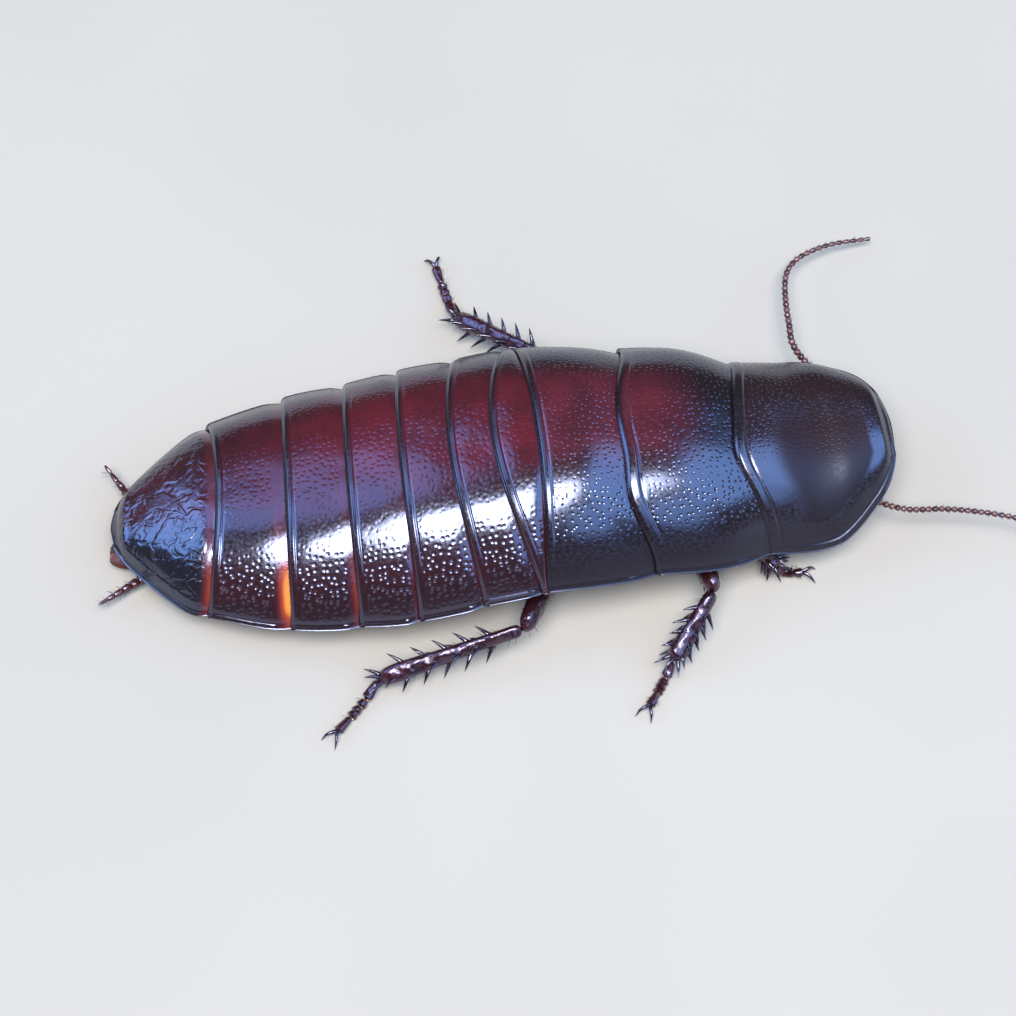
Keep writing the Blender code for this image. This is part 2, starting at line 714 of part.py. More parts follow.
def cercus(side):
    root, tip = (Vector(point) for point in CERCI[side])
    path, radii = [], []
    for k, along in enumerate(even(CERCUS_RINGS)):
        path.append(root.lerp(tip, along))
        radii.append(CERCUS_RADIUS * (1.0 if k % 2 else CERCUS_WAIST) * (1 - CERCUS_TAPER * along**2))
    return tube(path, radii, 2)


def build():
    clear_scene()
    materials = {name: make_material(name) for name in COLOURS}
    nodes = {}
    for name, bm in back_pieces().items():
        nodes[name] = (bm, "dark_cuticle" if name in DARK_PLATES else "cuticle")
    nodes["subgenital_plate"] = (subgenital_plate(), "belly")
    for name, (s_front, s_hind) in STERNA.items():
        table = PRONOTUM if name == "prosternum" else BODY
        nodes[name] = (thorax_block(table, s_front, s_hind), "belly")
    nodes["head"] = (head(), "dark_cuticle")
    for side, y in (("left", 1), ("right", -1)):
        nodes[f"eye_{side}"] = (eye(y), "eye")
        nodes[f"cercus_{side}"] = (cercus(side), "limb")
        for name, bm in antenna(side).items():
            nodes[name] = (bm, "limb")
    for name, bm in mouthparts().items():
        nodes[name] = (bm, "limb")
    for place in LEGS:
        for name, bm in leg(place).items():
            nodes[name] = (bm, "limb")

    roach = bpy.data.collections.new("wood_roach")
    bpy.context.scene.collection.children.link(roach)
    low = Vector((math.inf, math.inf, math.inf))
    high = -low
    objects = []
    for name, (bm, material) in nodes.items():
        bmesh.ops.scale(bm, vec=(MM, MM, MM), verts=bm.verts)
        for vert in bm.verts:
            low = Vector(map(min, low, vert.co))
            high = Vector(map(max, high, vert.co))
        obj = mesh_object(bm, name, roach)
        obj.data.materials.append(materials[material])
        obj.data.shade_smooth()
        obj.data.set_sharp_from_angle(angle=SHARP_ANGLE)
        objects.append(obj)

    base = bpy.data.objects.new("base_centre", None)
    base.location = (-(low.x + high.x) / 2, -(low.y + high.y) / 2, -low.z)
    roach.objects.link(base)
    for obj in objects:
        obj.parent = base


build()
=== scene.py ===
"""The looks of the wood roach: fine plates, legs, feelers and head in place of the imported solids, with their
materials, a pale floor, soft light and the camera.

Sizes are in millimetres in the body frame, +X to the head, +Y to the animal's left and +Z up. Each mesh is
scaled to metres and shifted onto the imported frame. A place on the body is given by s, the distance from the
tail tip along the bent body axis, and t, which runs from -1 at the right margin to +1 at the left one.
"""

import math
import random

import bpy
import numpy as np
from mathutils import Matrix, Vector, noise


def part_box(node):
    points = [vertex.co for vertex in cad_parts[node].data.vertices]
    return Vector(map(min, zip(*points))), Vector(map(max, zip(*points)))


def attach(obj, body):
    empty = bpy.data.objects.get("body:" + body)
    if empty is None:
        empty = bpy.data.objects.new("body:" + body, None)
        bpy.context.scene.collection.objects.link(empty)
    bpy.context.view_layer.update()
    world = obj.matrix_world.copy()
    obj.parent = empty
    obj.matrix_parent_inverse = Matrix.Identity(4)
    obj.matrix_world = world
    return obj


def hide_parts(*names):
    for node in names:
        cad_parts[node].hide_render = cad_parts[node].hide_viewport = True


MM = 0.001
SEED = 5

# Camera of the photo, in the body frame, with its angles in degrees and its clip range in metres.
CAMERA_AZIMUTH = -6.43
CAMERA_ELEVATION = 60.0
CAMERA_DISTANCE = 100.0
CAMERA_TARGET = Vector((1.114, -0.756, 2.0))
SENSOR = 36.0
LENS = 110.7
CLIP_RANGE = (0.001, 20.0)

# Body axis: an arc that passes the frame's origin at S_MIDDLE and bends to the left.
BODY_BEND = math.radians(0.38)
S_MIDDLE = 11.6
# Distance from the tail tip, half width, margin height, arch above the margin, belly height.
BODY = (
    (0.00, 0.40, 1.25, 0.10, 0.98),
    (0.25, 0.92, 1.26, 0.30, 0.95),
    (0.60, 1.42, 1.28, 0.52, 0.92),
    (1.20, 2.05, 1.31, 0.84, 0.90),
    (1.85, 2.68, 1.35, 1.14, 0.88),
    (2.50, 3.20, 1.39, 1.42, 0.87),
    (3.15, 3.50, 1.46, 1.62, 0.86),
    (5.72, 4.21, 1.68, 2.08, 0.90),
    (7.83, 4.42, 1.93, 2.34, 1.00),
    (9.65, 4.56, 2.28, 2.48, 1.12),
    (11.64, 4.50, 2.75, 2.46, 1.25),
    (13.51, 4.45, 3.12, 2.44, 1.60),
    (17.03, 4.16, 2.84, 2.24, 1.90),
    (18.80, 4.04, 2.58, 2.17, 1.98),
    (20.57, 3.62, 2.12, 2.14, 2.00),
)
PRONOTUM = (
    (19.80, 3.50, 2.24, 2.26, 1.75),
    (20.85, 3.54, 1.98, 2.18, 1.75),
    (22.10, 3.50, 1.74, 2.06, 1.75),
    (22.90, 3.40, 1.80, 1.91, 1.75),
    (23.40, 3.16, 1.98, 1.74, 1.75),
    (24.00, 2.72, 2.26, 1.36, 1.75),
    (24.60, 2.20, 2.56, 0.92, 1.75),
    (25.00, 1.56, 2.82, 0.52, 1.75),
    (25.25, 0.80, 2.96, 0.24, 1.75),
)
FRONT_TIP = 25.25
# Hind margin of each plate: s on the midline, how far its corners lie forward of that, how early it bends.
HIND_MARGIN = {
    "pronotum": (20.15, 0.52, 2.4),
    "mesonotum": (16.30, 0.76, 2.6),
    "metanotum": (13.70, -0.19, 1.0),
    "abdomen_1": (12.30, 1.10, 1.0),
    "abdomen_2": (10.95, 0.69, 1.0),
    "abdomen_3": (9.40, 0.25, 1.0),
    "abdomen_4": (7.70, 0.13, 1.0),
    "abdomen_5": (5.75, -0.03, 1.0),
    "abdomen_6": (3.54, -0.39, 1.0),
}
PLATES = tuple(HIND_MARGIN)
# How far the hind edge reaches back on the right side of a plate, around which t and how widely.
REACH_BACK = {"pronotum": (0.42, -0.42, 0.35), "mesonotum": (0.50, -0.62, 0.28)}

# Legs: coxa start, coxa end, knee, tibia end and tarsus tip.
LEGS = {
    "front_left": (
        (10.3, 0.95, 1.28), (9.5, 1.35, 1.00), (9.3, 3.00, 1.50), (10.1, 3.35, 0.60), (11.2, 3.55, 0.22),
    ),
    "front_right": (
        (10.2, -0.75, 1.28), (9.4, -1.15, 1.00), (8.9, -2.75, 1.40), (9.5, -3.05, 0.60), (10.4, -3.20, 0.22),
    ),
    "middle_left": (
        (8.9, 0.95, 1.45), (6.9, 1.50, 1.00), (7.6, 3.95, 1.60), (6.0, 4.90, 0.60), (4.7, 5.30, 0.22),
    ),
    "middle_right": (
        (8.8, -0.95, 1.45), (6.8, -1.50, 1.05), (7.3, -4.29, 1.75), (5.77, -6.08, 0.60), (4.87, -7.39, 0.22),
    ),
    "hind_left": (
        (5.1, 0.95, 1.35), (3.0, 1.60, 1.00), (3.30, 4.65, 1.90), (0.29, 7.58, 0.60), (-0.17, 10.00, 0.22),
    ),
    "hind_right": (
        (5.0, -0.95, 1.35), (2.9, -1.60, 1.00), (1.17, -5.01, 1.75), (-3.54, -5.7, 0.60), (-5.0, -7.2, 0.22),
    ),
}
ANTENNAE = {
    "left": (
        (13.00, 0.90, 1.58), (12.85, 2.00, 1.48), (11.95, 3.40, 1.40), (11.30, 4.60, 1.42),
        (11.27, 5.60, 1.36), (11.35, 6.90, 1.25), (11.60, 7.90, 1.10), (12.20, 8.55, 0.95),
        (13.30, 9.05, 0.75), (14.70, 9.30, 0.50),
    ),
    "right": (
        (13.00, -0.60, 1.56), (12.90, -1.42, 1.50), (13.85, -1.95, 1.52), (15.10, -2.08, 1.50),
        (16.20, -2.28, 1.45), (17.35, -2.61, 1.40), (18.70, -3.15, 1.25), (20.10, -3.95, 1.00),
        (21.30, -4.95, 0.70), (22.10, -6.10, 0.45),
    ),
}
CERCI = {
    "left": ((-10.75, 1.45, 0.45), (-11.75, 3.05, 0.75)),
    "right": ((-10.90, -1.25, 0.45), (-12.20, -2.10, 0.70)),
}

rng = random.Random(SEED)


# Mesh building

SMOOTH_ANGLE = 50
# How many rows of points a rounded edge has, and how far the edge of a back plate bulges.
EDGE_ROWS = 4
EDGE_BULGE = 0.35
# The four marks of a point: how red it is, its pits, its painted glow of light shining through, and how dull
# it is.
UNMARKED = (0.0, 0.0, 0.0, 0.0)


class Shape:
    """Points, faces and colour marks gathered for one mesh."""

    def __init__(self):
        self.points = []
        self.faces = []
        self.tones = []
        self.plans = []

    def add(self, points, faces, tone=UNMARKED, plan=None):
        start = len(self.points)
        self.points.extend(points)
        self.faces.extend(tuple(start + index for index in face) for face in faces)
        self.tones.extend([tone] * len(points) if isinstance(tone, tuple) else list(tone))
        self.plans.extend([tuple(point) for point in points] if plan is None else list(plan))


def make_object(name, shape, look, nodes=(), smooth_angle=SMOOTH_ANGLE):
    """Scales a shape to metres, puts it onto the frame and lets it stand for the named solids."""
    mesh = bpy.data.meshes.new(name)
    mesh.from_pydata([SHIFT + Vector(point) * MM for point in shape.points], [], shape.faces)
    tone = mesh.attributes.new("tone", "FLOAT_COLOR", "POINT")
    tone.data.foreach_set("color", np.array(shape.tones, np.float32).ravel())
    plan = mesh.attributes.new("plan", "FLOAT_VECTOR", "POINT")
    plan.data.foreach_set("vector", np.array(shape.plans, np.float32).ravel())
    mesh.validate()
    mesh.shade_smooth()
    mesh.set_sharp_from_angle(angle=math.radians(smooth_angle))
    material = LOOKS[look]
    mesh.materials.append(material)
    obj = bpy.data.objects.new(name, mesh)
    bpy.context.scene.collection.objects.link(obj)
    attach(obj, "root")
    if nodes:
        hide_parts(*nodes)


def grid_faces(rows, columns, start=0, flip=False):
    faces = []
    for i in range(rows - 1):
        for j in range(columns - 1):
            a = start + i * columns + j
            face = (a, a + 1, a + columns + 1, a + columns)
            faces.append(face[::-1] if flip else face)
    return faces


def make_sheet(name, top, under, marks, plan, look, nodes=(), bulge=0.0):
    """A closed sheet between two grids of points with one outline, its edge rounded outwards by bulge."""
    rows, columns = top.shape[:2]
    count = rows * columns
    faces = grid_faces(rows, columns) + grid_faces(rows, columns, count, flip=True)
    border = list(range(columns))
    border += [i * columns + columns - 1 for i in range(1, rows)]
    border += [(rows - 1) * columns + j for j in range(columns - 2, -1, -1)]
    border += [i * columns for i in range(rows - 2, 0, -1)]
    tone = np.stack(np.broadcast_arrays(*marks, top[..., 0])[:-1], -1)
    points = [top.reshape(-1, 3), under.reshape(-1, 3)]
    tones = [tone.reshape(-1, 4)] * 2
    plans = [plan.reshape(-1, 3)] * 2
    rings = [border]
    if bulge:
        above, below = points[0][border], points[1][border]
        outward = np.cross(np.roll(above, -1, 0) - np.roll(above, 1, 0), UP)
        outward = outward / np.linalg.norm(outward, axis=1)[:, None]
        outward = outward * np.linalg.norm(above - below, axis=1)[:, None] * bulge
        for k in range(EDGE_ROWS):
            angle = math.pi * (k + 1) / (EDGE_ROWS + 1)
            part = (1 - math.cos(angle)) / 2
            points.append(above * (1 - part) + below * part + outward * math.sin(angle))
            tones.append(tones[0][border])
            plans.append(plans[0][border] + 0.1 * angle)
            first = 2 * count + k * len(border)
            rings.append(range(first, first + len(border)))
    rings.append([index + count for index in border])
    for upper, lower in zip(rings, rings[1:]):
        for n in range(len(border)):
            m = (n + 1) % len(border)
            faces.append((upper[m], upper[n], lower[n], lower[m]))
    shape = Shape()
    shape.add(list(np.concatenate(points)), faces, map(tuple, np.concatenate(tones)), np.concatenate(plans))
    make_object(name, shape, look, nodes)


# Body surface

# Power of the arch across the body, and how much wider and lower the margins are than those of the solids.
ARCH_POWER = 3.0
MARGIN_WIDER = 1.015
MARGIN_DROP = 0.16
UP = Vector((0, 0, 1))


def station(table, s, column):
    """A smooth curve through one column of a station table, the same as in the solids."""
    xs = np.array([row[0] for row in table])
    ys = np.array([row[column] for row in table])
    slopes = np.empty(len(xs))
    slopes[1:-1] = (ys[2:] - ys[:-2]) / (xs[2:] - xs[:-2])
    slopes[0] = (ys[1] - ys[0]) / (xs[1] - xs[0])
    slopes[-1] = (ys[-1] - ys[-2]) / (xs[-1] - xs[-2])
    s = np.clip(np.asarray(s, float), xs[0], xs[-1])
    k = np.clip(np.searchsorted(xs, s, side="right") - 1, 0, len(xs) - 2)
    span = xs[k + 1] - xs[k]
    u = (s - xs[k]) / span
    return (
        ys[k] * (1 + 2 * u) * (1 - u) ** 2
        + slopes[k] * span * u * (1 - u) ** 2
        + ys[k + 1] * u * u * (3 - 2 * u)
        + slopes[k + 1] * span * u * u * (u - 1)
    )


def on_body(s, y, z):
    turn = BODY_BEND * (s - S_MIDDLE)
    x_axis = np.sin(turn) / BODY_BEND
    y_axis = (1 - np.cos(turn)) / BODY_BEND
    return np.stack([x_axis - y * np.sin(turn), y_axis + y * np.cos(turn), z], -1)


def back_height(table, s, t):
    return station(table, s, 2) + station(table, s, 3) * (1 - np.minimum(np.abs(t), 1.0) ** ARCH_POWER)


def smooth(x, low, high):
    """0 below low, 1 above high and a smooth step between."""
    u = np.clip((np.asarray(x, float) - low) / (high - low), 0.0, 1.0)
    return u * u * (3 - 2 * u)


def ridge(x, middle, width, height=1.0):
    """A smooth bump."""
    return height * np.exp(-(((np.asarray(x, float) - middle) / width) ** 2))


def hind_line(plate, t):
    s_middle, forward, bend = HIND_MARGIN[plate]
    back, middle, width = REACH_BACK.get(plate, (0.0, 0.0, 1.0))
    return s_middle + forward * (1 - (1 - np.minimum(t * t, 1.0)) ** bend) - ridge(t, middle, width, back)


def margin_spaced(count, fine=0.6):
    """Places across the body from -1 to 1, closer together at the margins."""
    even = np.linspace(-1, 1, count)
    return ((1 - fine) * even + fine * np.sin(even * math.pi / 2))[None, :]


def rows_along(stretches):
    """Places along a sheet, from stretches that each have a start, an end and a number of rows."""
    return np.concatenate([np.linspace(*stretch) for stretch in stretches])[:, None]


def lumps(points, size, seed):
    """Smooth random values, one for each point of a grid."""
    flat = points.reshape(-1, 3) / size + seed * 7.3
    values = np.array([noise.noise(Vector(point)) for point in flat])
    return values.reshape(points.shape[:2])


# Back plates

COLUMNS = 180
# Rows of a plate, from 0 at the hind edge of the plate in front, to 1 at its own; it is hidden below 0.
HIDDEN_ROWS = (-1.0, -0.25, 4)
PLATE_ROWS = (HIDDEN_ROWS, (0.0, 0.72, 18), (0.74, 1.0, 26))
HOOD_ROWS = ((0.0, 0.30, 40), (0.315, 0.86, 26), (0.87, 1.0, 18))
TAIL_ROWS = 60
OVERLAP = 0.45
PLATE_THICKNESS = 0.15
HOOD_THICKNESS = 0.16
FLANGE_THICKNESS = 0.10
HOOD_FLANGE = 0.08
UNDERCUT = 0.20
# How high each plate rises behind the one in front, how quickly, and how far its hidden part dips.
STEP = 0.13
STEP_CURVE = 1.8
HIDDEN_DIP = 0.05
# How much narrower the front corners of a plate are than its hind ones, and how far its sides bow out.
CORNER_INSET = 0.035
TIP_CORNER_INSET = 0.05
THORAX_BOW = 0.012
ABDOMEN_BOW = 0.004
# How much each plate of the thorax swells between its two edges, and the hood behind its sunken middle.
SWELL = 0.17
HOOD_SWELL = 0.6 * SWELL
# Width of the smooth band along each hind edge, then its height and its groove's depth as shares of that.
HIND_BAND = {"pronotum": 0.32, "mesonotum": 0.34, "metanotum": 0.22}
ABDOMEN_BAND = 0.20
BAND_HEIGHT = 0.13
BAND_GROOVE = 0.12
EDGE_DROP = 0.05
# The raised rim along each side, its groove as deep as it is high, and the raised corner of one plate.
SIDE_RIM = 0.12
RIM_HEIGHT = 0.03
CORNER_RIDGE = 0.09
# Width of the bare strip behind the plate in front, and how strongly a painted orange glow of light shining
# through it colours its near end.
BARE_STRIP = {"abdomen_7": 0.40, "abdomen_6": 0.62, "abdomen_5": 0.36, "abdomen_4": 0.22}
THIN_STRIP = 0.14
PAINTED_GLOW = {"abdomen_5": 0.30, "abdomen_6": 1.0, "abdomen_7": 0.36}
STRIP_RED = 0.7
TAIL_STRIP_RED = 1.15
# Bands along the right side where the pits are deeper or fainter, or the plates redder: t, width and amount.
THORAX_DEEP_PITS = (-0.66, 0.13, 1.2)
THORAX_FAINT_PITS = (-0.45, 0.13, 0.8)
ABDOMEN_DEEP_PITS = (-0.78, 0.17, 2.8)
ABDOMEN_FAINT_PITS = (-0.50, 0.13, 0.7)
ABDOMEN_NEAR_RED = (-0.78, 0.2, 0.22)
# Dullness of the thorax's right margin and of the hood, and the share of it that the hood's margins have.
THORAX_DULLNESS = 0.9
HOOD_DULLNESS = 1.6
HOOD_MARGIN_SHARE = 0.6
# Height and size of the uneven places on the plates.
UNEVEN = 0.022
TAIL_UNEVEN = 0.03
HOOD_UNEVEN = 0.02
LUMP_SIZE = 1.1
TAIL_SEED = 9
# How far behind the hood's front edge its bevel ends, the depth of it and its groove, and the rim's height.
BEVEL = 1.0
BEVEL_DEPTH = 0.05
BEVEL_GROOVE = 0.03
HOOD_RIM = 0.08
# Where the hood's middle is sunken, how widely and how deep.
HOLLOW = (22.55, 0.72, 0.11)
# How far the middle of the hood's front edge and of the tail's end bend down, level with both sides.
TIP_DROP = 0.30
TAIL_DROP = 0.22
TAIL_RIDGE = 0.035
# How far the ends of the short straight edges at both tips of the body lie back from their middle.
TIP_ROUNDING = 0.13


class Sheet:
    """The bare surface of one plate and the distances on it that its details follow."""

    def __init__(self, table, s, y, t):
        self.s, self.t = np.broadcast_arrays(s, t)
        self.y = y * MARGIN_WIDER
        self.base = back_height(table, s, t) - MARGIN_DROP * t**6
        self.place = on_body(self.s, self.y, self.base)
        step = np.linalg.norm(np.diff(self.place, axis=1, prepend=self.place[:, :1]), axis=2)
        along = np.cumsum(step, axis=1)
        self.to_side = np.minimum(along, along[:, -1:] - along)
        self.across = along - along[:, along.shape[1] // 2][:, None]

    def shell(self, lift, thickness, seed, uneven, marks, set_back=0.0):
        """Top and underside with the colour marks and the flat plan that the pits are laid out on."""
        z = self.base + lift
        bumps = lumps(on_body(self.s, self.y, z), LUMP_SIZE, seed)
        z = z + uneven * bumps * smooth(self.to_side, 0.1, 0.6)
        inward = UNDERCUT * np.sign(self.t) * smooth(np.abs(self.t), 0.85, 1.0)
        top = on_body(self.s, self.y, z)
        under = on_body(self.s - set_back, self.y - inward, z - thickness)
        plan = np.stack([self.s, self.across, np.full_like(self.s, 3.0 * seed)], -1)
        return top, under, marks, plan

    def to_front_edge(self):
        """Distance from the sheet's front and side edges."""
        border = np.concatenate([self.place[0], self.place[:, 0], self.place[:, -1]])
        gaps = np.linalg.norm(self.place[:, :, None, :] - border[None, None, :, :], axis=3)
        return gaps.min(axis=2)

    def side_relief(self):
        """A fine raised rim along each side, with a groove inside it."""
        rim = 1 - smooth(self.to_side, SIDE_RIM * 0.7, SIDE_RIM)
        return RIM_HEIGHT * (rim - ridge(self.to_side, SIDE_RIM * 1.45, SIDE_RIM / 2))


def hind_relief(to_hind, band):
    """A raised band that falls away to the hind edge, with a groove in front of it."""
    inward = np.minimum(to_hind / band, 1.3)
    raised = BAND_HEIGHT * band * (1 - smooth(inward, 0.8, 1.0)) * np.sqrt(np.minimum(0.1 + 0.9 * inward, 1))
    groove = ridge(inward, 1.12, 0.14, BAND_GROOVE * band)
    edge = EDGE_DROP * (1 - smooth(to_hind, 0.0, 0.05))
    return raised - groove, edge


def step_rise(v):
    return STEP * (1 - (1 - np.clip(v, 0, 1)) ** STEP_CURVE)


def hidden_dip(v):
    return HIDDEN_DIP * (v < 0) * np.minimum(-v * 3, 1)


def narrowing(v, inset, reach=0.35, most=1.0):
    """Each plate is a little narrower at its front corners than at its hind ones."""
    return 1 - inset * np.clip(1 - v / reach, 0, most) ** 2


def redness(s, t):
    """Maroon along the left half of the back, strongest in the middle of the body."""
    far_end = 0.62 + 0.35 * (1 - smooth(s, 9.0, 14.0))
    across = smooth(t, -0.55, -0.05) * (1 - smooth(t, 0.34, far_end))
    return across * (0.50 + 0.50 * smooth(s, 2.5, 9.0)) * (1 - smooth(s, 17.2, 19.6))


def bare_strip(name, front, s, t, v):
    """The strip behind the plate in front, and its painted glow of light shining through it, which fades up
    the side and to the margin.
    """
    strip = np.clip(front - s, 0, None) / BARE_STRIP.get(name, THIN_STRIP)
    bare = (1 - smooth(strip, 0.6, 1.0)) * (v > 0)
    painted_glow = smooth(-t, 0.52, 0.84) * (1 - 0.7 * smooth(-t, 0.90, 1.0)) * (1 - smooth(strip, 0.12, 0.80))
    return bare, painted_glow * PAINTED_GLOW.get(name, 0.0)


def thorax_marks(t, to_hind):
    """How deep the pits of a thorax plate are, and how dull its sides."""
    pits = smooth(t, -0.86, -0.72) * (1 + ridge(t, *THORAX_DEEP_PITS))
    pits = pits * (1 - ridge(t, *THORAX_FAINT_PITS) * (1 - smooth(to_hind, 0.7, 1.3)))
    return pits, smooth(t, 0.76, 0.94) + THORAX_DULLNESS * smooth(-t, 0.80, 0.92)


def abdomen_marks(t):
    """How deep the pits of an abdomen plate are, and how dull its far side."""
    pits = (1 + ridge(t, *ABDOMEN_DEEP_PITS)) * (1 - ridge(t, *ABDOMEN_FAINT_PITS))
    return pits * (0.3 + 0.7 * smooth(t, -0.97, -0.86)), smooth(t, 0.76, 0.94)


def back_plate(name, before):
    """One overlapping back plate, from under the plate in front of it to its own hind edge."""
    thorax = name.endswith("notum")
    t = margin_spaced(COLUMNS)
    v = rows_along(PLATE_ROWS)
    middle, even = np.abs(t), np.clip(v, 0, 1)
    front, hind = hind_line(before, t), hind_line(name, t)
    s = np.where(v < 0, front - v * OVERLAP, front + (hind - front) * v)
    bow = 1 + (THORAX_BOW if thorax else ABDOMEN_BOW) * np.sin(math.pi * even)
    sheet = Sheet(BODY, s, t * station(BODY, s, 1) * narrowing(v, CORNER_INSET) * bow, t)
    to_hind = np.clip(s - hind, 0, None)
    band = HIND_BAND.get(name, ABDOMEN_BAND)
    relief, edge = hind_relief(to_hind, band)
    on_top = smooth(sheet.to_side, 0.15, 0.5) * (1 - 0.75 * smooth(middle, 0.60, 0.85))
    lift = step_rise(v) - hidden_dip(v) + on_top * relief - edge + sheet.side_relief() * smooth(v, 0.05, 0.3)
    if thorax:
        lift = lift + SWELL * np.sin(math.pi * even) * (1 - middle**4) + STEP * even - step_rise(v)
    if name == "abdomen_2":
        lift = lift + ridge(sheet.to_side, 0.10, 0.07, CORNER_RIDGE) * (t < 0) * smooth(v, 0.1, 0.3)
    # The bare strip keeps its own red; the glow on it is painted light shining through the thin strip.
    bare, painted_glow = bare_strip(name, front, s, t, v)
    red = redness(s, t) * smooth(to_hind, 0.05, 0.25)
    if not thorax:
        red = np.maximum(np.maximum(red, ridge(t, *ABDOMEN_NEAR_RED)), STRIP_RED * bare)
    depth, dull = thorax_marks(t, to_hind) if thorax else abdomen_marks(t)
    pits = smooth(to_hind, band, band * 1.35) * (1 - bare) * smooth(sheet.to_side, 0.18, 0.3) * depth
    thickness = PLATE_THICKNESS + FLANGE_THICKNESS * smooth(middle, 0.93, 1.0)
    return sheet.shell(lift, thickness, len(name) + PLATES.index(name), UNEVEN, (red, pits, painted_glow, dull))


def tail_plate():
    """The last back plate, which closes in a rounded tail and is wrinkled all over."""
    t = margin_spaced(COLUMNS)
    shown = 1 - (1 - np.linspace(0, 1, TAIL_ROWS)) ** 1.5
    v = np.concatenate([np.linspace(*HIDDEN_ROWS), shown])[:, None]
    front = hind_line("abdomen_6", t)
    s = np.where(v < 0, front - v * OVERLAP, front * (1 - v) + TIP_ROUNDING * t * t * v**3)
    sheet = Sheet(BODY, s, t * station(BODY, s, 1) * narrowing(v, TIP_CORNER_INSET, 0.2, 1.3), t)
    sheet.to_side = np.minimum(sheet.to_side, sheet.s * 0.9)
    lift = step_rise(v) * smooth(sheet.to_side, 0.0, 0.5) - hidden_dip(v) + sheet.side_relief()
    lift = lift + ridge(sheet.to_side, 0.42, 0.07, TAIL_RIDGE) * smooth(v, 0.1, 0.3)
    lift = lift - TAIL_DROP * smooth(v, 0.90, 1.0) * (1 - t**4)
    # The bare strip keeps its own red; the glow on it is painted light shining through the thin strip.
    bare, painted_glow = bare_strip("abdomen_7", front, s, t, v)
    red = np.maximum(redness(s, t), TAIL_STRIP_RED * bare)
    pits = smooth(sheet.to_side, 0.22, 0.4) * (1 - bare)
    thickness = PLATE_THICKNESS + FLANGE_THICKNESS * smooth(np.abs(t), 0.93, 1.0)
    return sheet.shell(lift, thickness, TAIL_SEED, TAIL_UNEVEN, (red, pits, painted_glow, 0.0))


def shield():
    """The pronotum: a hood with a thick bevelled front rim and a slightly sunken middle."""
    t = margin_spaced(COLUMNS)
    v = rows_along(HOOD_ROWS)
    middle = np.abs(t)
    hind = hind_line("pronotum", t)
    s = (FRONT_TIP - TIP_ROUNDING * t * t) * (1 - v) + hind * v
    sheet = Sheet(PRONOTUM, s, t * station(PRONOTUM, s, 1) * narrowing(v, TIP_CORNER_INSET), t)
    to_hind = np.clip(s - hind, 0, None)
    to_edge = sheet.to_front_edge()
    relief, edge = hind_relief(to_hind, HIND_BAND["pronotum"])
    fade = 1 - smooth(v, 0.45, 0.95)
    rim = ridge(to_edge, 0.10, 0.09, HOOD_RIM) * (0.3 + 0.7 * fade)
    bevel = BEVEL_DEPTH * np.clip(1 - to_edge / BEVEL, 0, 1) + ridge(to_edge, 0.30, 0.09, BEVEL_GROOVE)
    lift = STEP * v + smooth(to_edge, 0.2, 0.6) * relief - edge + rim - bevel * fade
    lift = lift + HOOD_SWELL * np.sin(math.pi * smooth(v, 0.35, 1.15)) * (1 - middle**4)
    lift = lift - ridge(s, *HOLLOW) * (1 - t * t)
    lift = lift - TIP_DROP * (1 - smooth(v, 0.0, 0.09)) * (1 - t**4)
    pits = smooth(to_hind, 0.25, 0.4) * smooth(to_edge, 0.3, 1.2) * smooth(t, -0.6, -0.2)
    facet = smooth(to_edge, BEVEL - 0.1, BEVEL + 0.1) * smooth(to_hind, 0.8, 1.8) * (1 - smooth(t, -0.2, 0.4))
    dull = HOOD_DULLNESS * (facet + HOOD_MARGIN_SHARE * smooth(middle, 0.76, 0.94))
    thickness = HOOD_THICKNESS + HOOD_FLANGE * smooth(middle, 0.93, 1.0)
    set_back = 0.4 * UNDERCUT * (1 - smooth(v, 0.0, 0.1))
    return sheet.shell(lift, thickness, 0, HOOD_UNEVEN, (0.15 * pits, pits, 0.0, dull), set_back)


def make_back():
    make_sheet("pronotum_shield", *shield(), "hood_cuticle", ["pronotum"], EDGE_BULGE)
    for before, name in zip(PLATES, PLATES[1:]):
        look = "thorax_cuticle" if name.endswith("notum") else "abdomen_cuticle"
        make_sheet(f"{name}_plate", *back_plate(name, before), look, [name], EDGE_BULGE)
    make_sheet("abdomen_7_plate", *tail_plate(), "tail_cuticle", ["abdomen_7"], EDGE_BULGE)


# Underside

FLANGE_START = 0.72
FLANGE_END = 0.86
BELLY_RISE = 0.30
PLATE_EDGE = 0.34
# The soft body: its ends, where the hood takes over, its share of the width, and how deep inside it lies.
CORE_ENDS = (0.35, 23.4)
HOOD_START = 20.3
CORE_WIDTH = 0.94
CORE_BELOW_BACK = 0.24
CORE_ABOVE_BELLY = 0.12
# Belly plates: number, rows, reach across, thickness, width of the front one and end of the last one, and
# the size and height of their lumps.
STERNITES = 7
BELLY_ROWS = ((-0.25, 0.7, 14), (0.74, 1.0, 12))
BELLY_REACH = 0.86
BELLY_THICKNESS = 0.12
FIRST_BELLY_WIDTH = 0.92
LAST_BELLY_END = 0.25
BELLY_LUMPS = (0.9, 0.018)
# The plate under the tail: ends, half width, shift to the right in front and more behind, height, thickness
# and how far its edges curl up.
UNDERTAIL_ENDS = (2.6, -0.12)
UNDERTAIL_WIDTH = 0.95
UNDERTAIL_SHIFT = (0.12, 0.50)
UNDERTAIL_HEIGHT = 0.24
UNDERTAIL_THICKNESS = 0.26
UNDERTAIL_CURL = 0.08
# Front and hind ends of the plates under the thorax, their reach across, thickness, rise and keel.
STERNA = {"prosternum": (22.2, 20.75), "mesosternum": (19.7, 16.8), "metasternum": (16.5, 13.9)}
STERNUM_REACH = 0.60
STERNUM_THICKNESS = 0.35
STERNUM_RISE = 0.50
KEEL = 0.10
KEEL_GROOVE = 0.08


